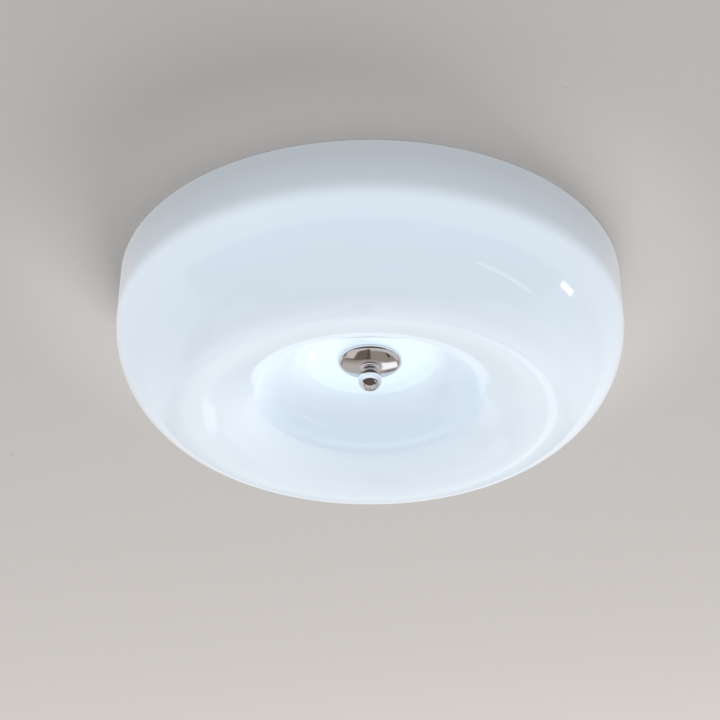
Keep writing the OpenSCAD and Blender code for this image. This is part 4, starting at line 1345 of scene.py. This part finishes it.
@dataclass
class Studio:
    """The ceiling, the plain light of the room and the soft light from its window side."""

    ceiling_colour: Colour = (0.64, 0.612, 0.592)
    # painted glow: the ceiling's paint is made lighter near the lamp by this share, fading out between these
    # radii, in place of the lamp's light falling on it
    painted_glow_share: float = 0.16
    painted_glow_rs: Span = (200 * MM, 330 * MM)
    ceiling_w: float = 9.0
    ceiling_lift: float = 0.6 * MM
    key_place: Point = (0.95, 2.9, -1.75)
    key_size: Span = (2.2, 1.9)
    key_power: float = 120.0
    key_colour: Colour = (1.0, 0.985, 0.97)
    backdrop: Colour = screen(206, 201, 198)
    room: Colour = screen(152, 142, 135)
    room_behind: Colour = (0.11, 0.09, 0.08)
    ceiling_light: Colour = (0.68, 0.665, 0.665)
    upper_light: float = 0.72
    lower_light: float = 0.61
    patches: tuple[RoomPatch, ...] = (
        RoomPatch((-95.0, -26.0), (-36.0, 0.0), (0.74, 0.73, 0.74), 9.0),
        RoomPatch((26.0, 95.0), (-36.0, 0.0), (0.45, 0.44, 0.44), 9.0),
        RoomPatch((12.0, 75.0), (-50.0, -33.0), (0.60, 0.58, 0.60), 4.0),
        RoomPatch((-95.0, 95.0), (-90.0, -47.0), (0.60, 0.58, 0.58), 5.0),
        RoomPatch((-12.0, 3.0), (-33.0, -21.0), (0.52, 0.48, 0.46), 6.0),
        RoomPatch((4.0, 24.0), (-23.0, -2.0), (0.08, 0.08, 0.08), 4.0),
        RoomPatch((-24.0, -6.5), (-70.0, -37.0), (0.66, 0.60, 0.58)),
        RoomPatch((-24.0, -6.5), (-37.2, -36.2), screen(95, 85, 78), 0.3),
        RoomPatch((-6.5, -1.6), (-70.0, -35.5), screen(112, 101, 92)),
        RoomPatch((-1.6, 0.2), (-70.0, -35.5), screen(88, 81, 76)),
        RoomPatch((8.0, 9.0), (-46.0, -38.0), screen(45, 40, 38)),
        RoomPatch((3.0, 10.5), (-33.0, -26.5), (1.15, 1.15, 1.17), 2.0),
        RoomPatch((83.5, 90.5), (-7.5, -2.5), (11.0, 11.0, 11.4), 2.4),
        RoomPatch((98.0, 130.0), (-30.0, -27.0), (1.8, 1.8, 1.85), 1.5),
    )

    def world(self) -> None:
        """Lights the lamp plainly from all round, and gives the gloss a room to mirror."""
        world = bpy.data.worlds.new("room_light")
        world.use_nodes = True
        bpy.context.scene.world = world
        recipe = Recipe(world.node_tree)
        x, y, z = recipe.axes(recipe.node("ShaderNodeTexCoord", output="Generated"))
        up = z.step(-0.04, 0.04)
        azimuth = x.maths("ARCTAN2", x, y) * (180 / math.pi)
        elevation = z.maths("ARCSINE", z) * (180 / math.pi)
        front = y.step(0.1, -0.1)
        mirrored = recipe.mix(up, recipe.mix(front, self.room, self.room_behind), self.ceiling_light)
        for patch in self.patches:
            inside: Any = 1.0
            for angle, (low, high) in ((azimuth, patch.azimuth), (elevation, patch.elevation)):
                inside = inside * angle.step(low - patch.soft / 2, low + patch.soft / 2)
                inside = inside * angle.step(high - patch.soft / 2, high + patch.soft / 2, 1.0, 0.0)
            mirrored = recipe.mix(inside, mirrored, patch.colour)
        plain = recipe.mix(up, (self.lower_light,) * 3, (self.upper_light,) * 3)
        rays = recipe.node("ShaderNodeLightPath", output="Is Glossy Ray")
        camera = Wire(recipe, rays.socket.node.outputs["Is Camera Ray"])
        through = Wire(recipe, rays.socket.node.outputs["Is Transmission Ray"])
        light = recipe.mix(rays, plain, mirrored)
        light = recipe.mix(camera.maths("MAXIMUM", camera, through), light, self.backdrop)
        shader = recipe.node("ShaderNodeBackground", values={"Color": light, "Strength": 1.0})
        recipe.node("ShaderNodeOutputWorld", values={"Surface": shader})

    def ceiling(self) -> None:
        """Makes the painted ceiling, which shows from below only and lets all light through. Its paint is
        lighter round the lamp: a painted glow of the lamp's light.
        """
        bpy.ops.object.select_all(action="DESELECT")
        bpy.ops.mesh.primitive_plane_add(
            size=self.ceiling_w, location=(0, 0, self.ceiling_lift), rotation=(math.pi, 0, 0))
        ceiling = bpy.context.object
        ceiling.name = "ceiling"
        material = bpy.data.materials.new("ceiling_paint")
        material.use_nodes = True
        recipe = Recipe(material.node_tree)
        roller = recipe.noise(60.0, detail=6.0, roughness=0.7)
        cloud = recipe.noise(0.9, detail=2.0)
        # painted glow: the paint is lighter round the lamp, standing in for the lamp's own light on the
        # ceiling
        painted_glow = recipe.radius().step(*self.painted_glow_rs, self.painted_glow_share, 0.0)
        speck = recipe.noise(150.0, detail=1.0).step(0.80, 0.84, 0.0, 0.35)
        hair = abs(recipe.noise(3.0, detail=5.0, roughness=0.6) - 0.5).step(0.0, 0.0012, 0.05, 0.0)
        blotch = recipe.noise(2.2, detail=1.0).step(0.56, 0.64)
        plain = (0.985 + 0.03 * cloud) * (0.995 + 0.01 * roller) - speck - hair * blotch
        paint = recipe.tint(self.ceiling_colour, plain * (1.0 + painted_glow))
        shade = recipe.node("ShaderNodeBsdfDiffuse", values={
            "Color": paint, "Roughness": 0.6, "Normal": recipe.bump(roller, 0.25 * MM)})
        clear = recipe.node("ShaderNodeBsdfTransparent")
        rays = recipe.node("ShaderNodeLightPath", output="Is Camera Ray")
        behind = recipe.node("ShaderNodeNewGeometry", output="Backfacing")
        mixed = recipe.node("ShaderNodeMixShader", values={0: rays * (1 - behind), 1: clear, 2: shade})
        recipe.node("ShaderNodeOutputMaterial", values={"Surface": mixed})
        ceiling.data.materials.append(material)

    def key_light(self) -> None:
        """Hangs the soft light of the room's window side, which shines at the lamp."""
        data = bpy.data.lights.new("window_side", "AREA")
        data.shape = "RECTANGLE"
        data.size, data.size_y = self.key_size
        data.energy = self.key_power
        data.color = self.key_colour
        light = bpy.data.objects.new("window_side", data)
        bpy.context.scene.collection.objects.link(light)
        light.location = self.key_place
        light.rotation_mode = "QUATERNION"
        light.rotation_quaternion = (-Vector(self.key_place)).to_track_quat("-Z", "Y")
        light.visible_camera = False
        light.visible_glossy = False
        light.visible_transmission = False

    def build(self) -> None:
        """Sets up the world, the ceiling and the lights."""
        self.world()
        self.ceiling()
        self.key_light()


def main() -> None:
    """Builds the scene and the ceiling light's assemblies in order."""
    logging.basicConfig(level=logging.INFO, format="%(name)s: %(message)s")
    bpy.context.scene.view_settings.view_transform = "Standard"
    PhotoCamera().build()
    Studio().build()
    GlassShade().build()
    CapAndFinial().build()
    Suspension().build()
    ChassisPan().build()
    CeilingBar().build()
    Wiring().build()
    LedRing().build()
    dress_other_nodes()
    clear_the_mirror()


if __name__ == "__main__":
    main()
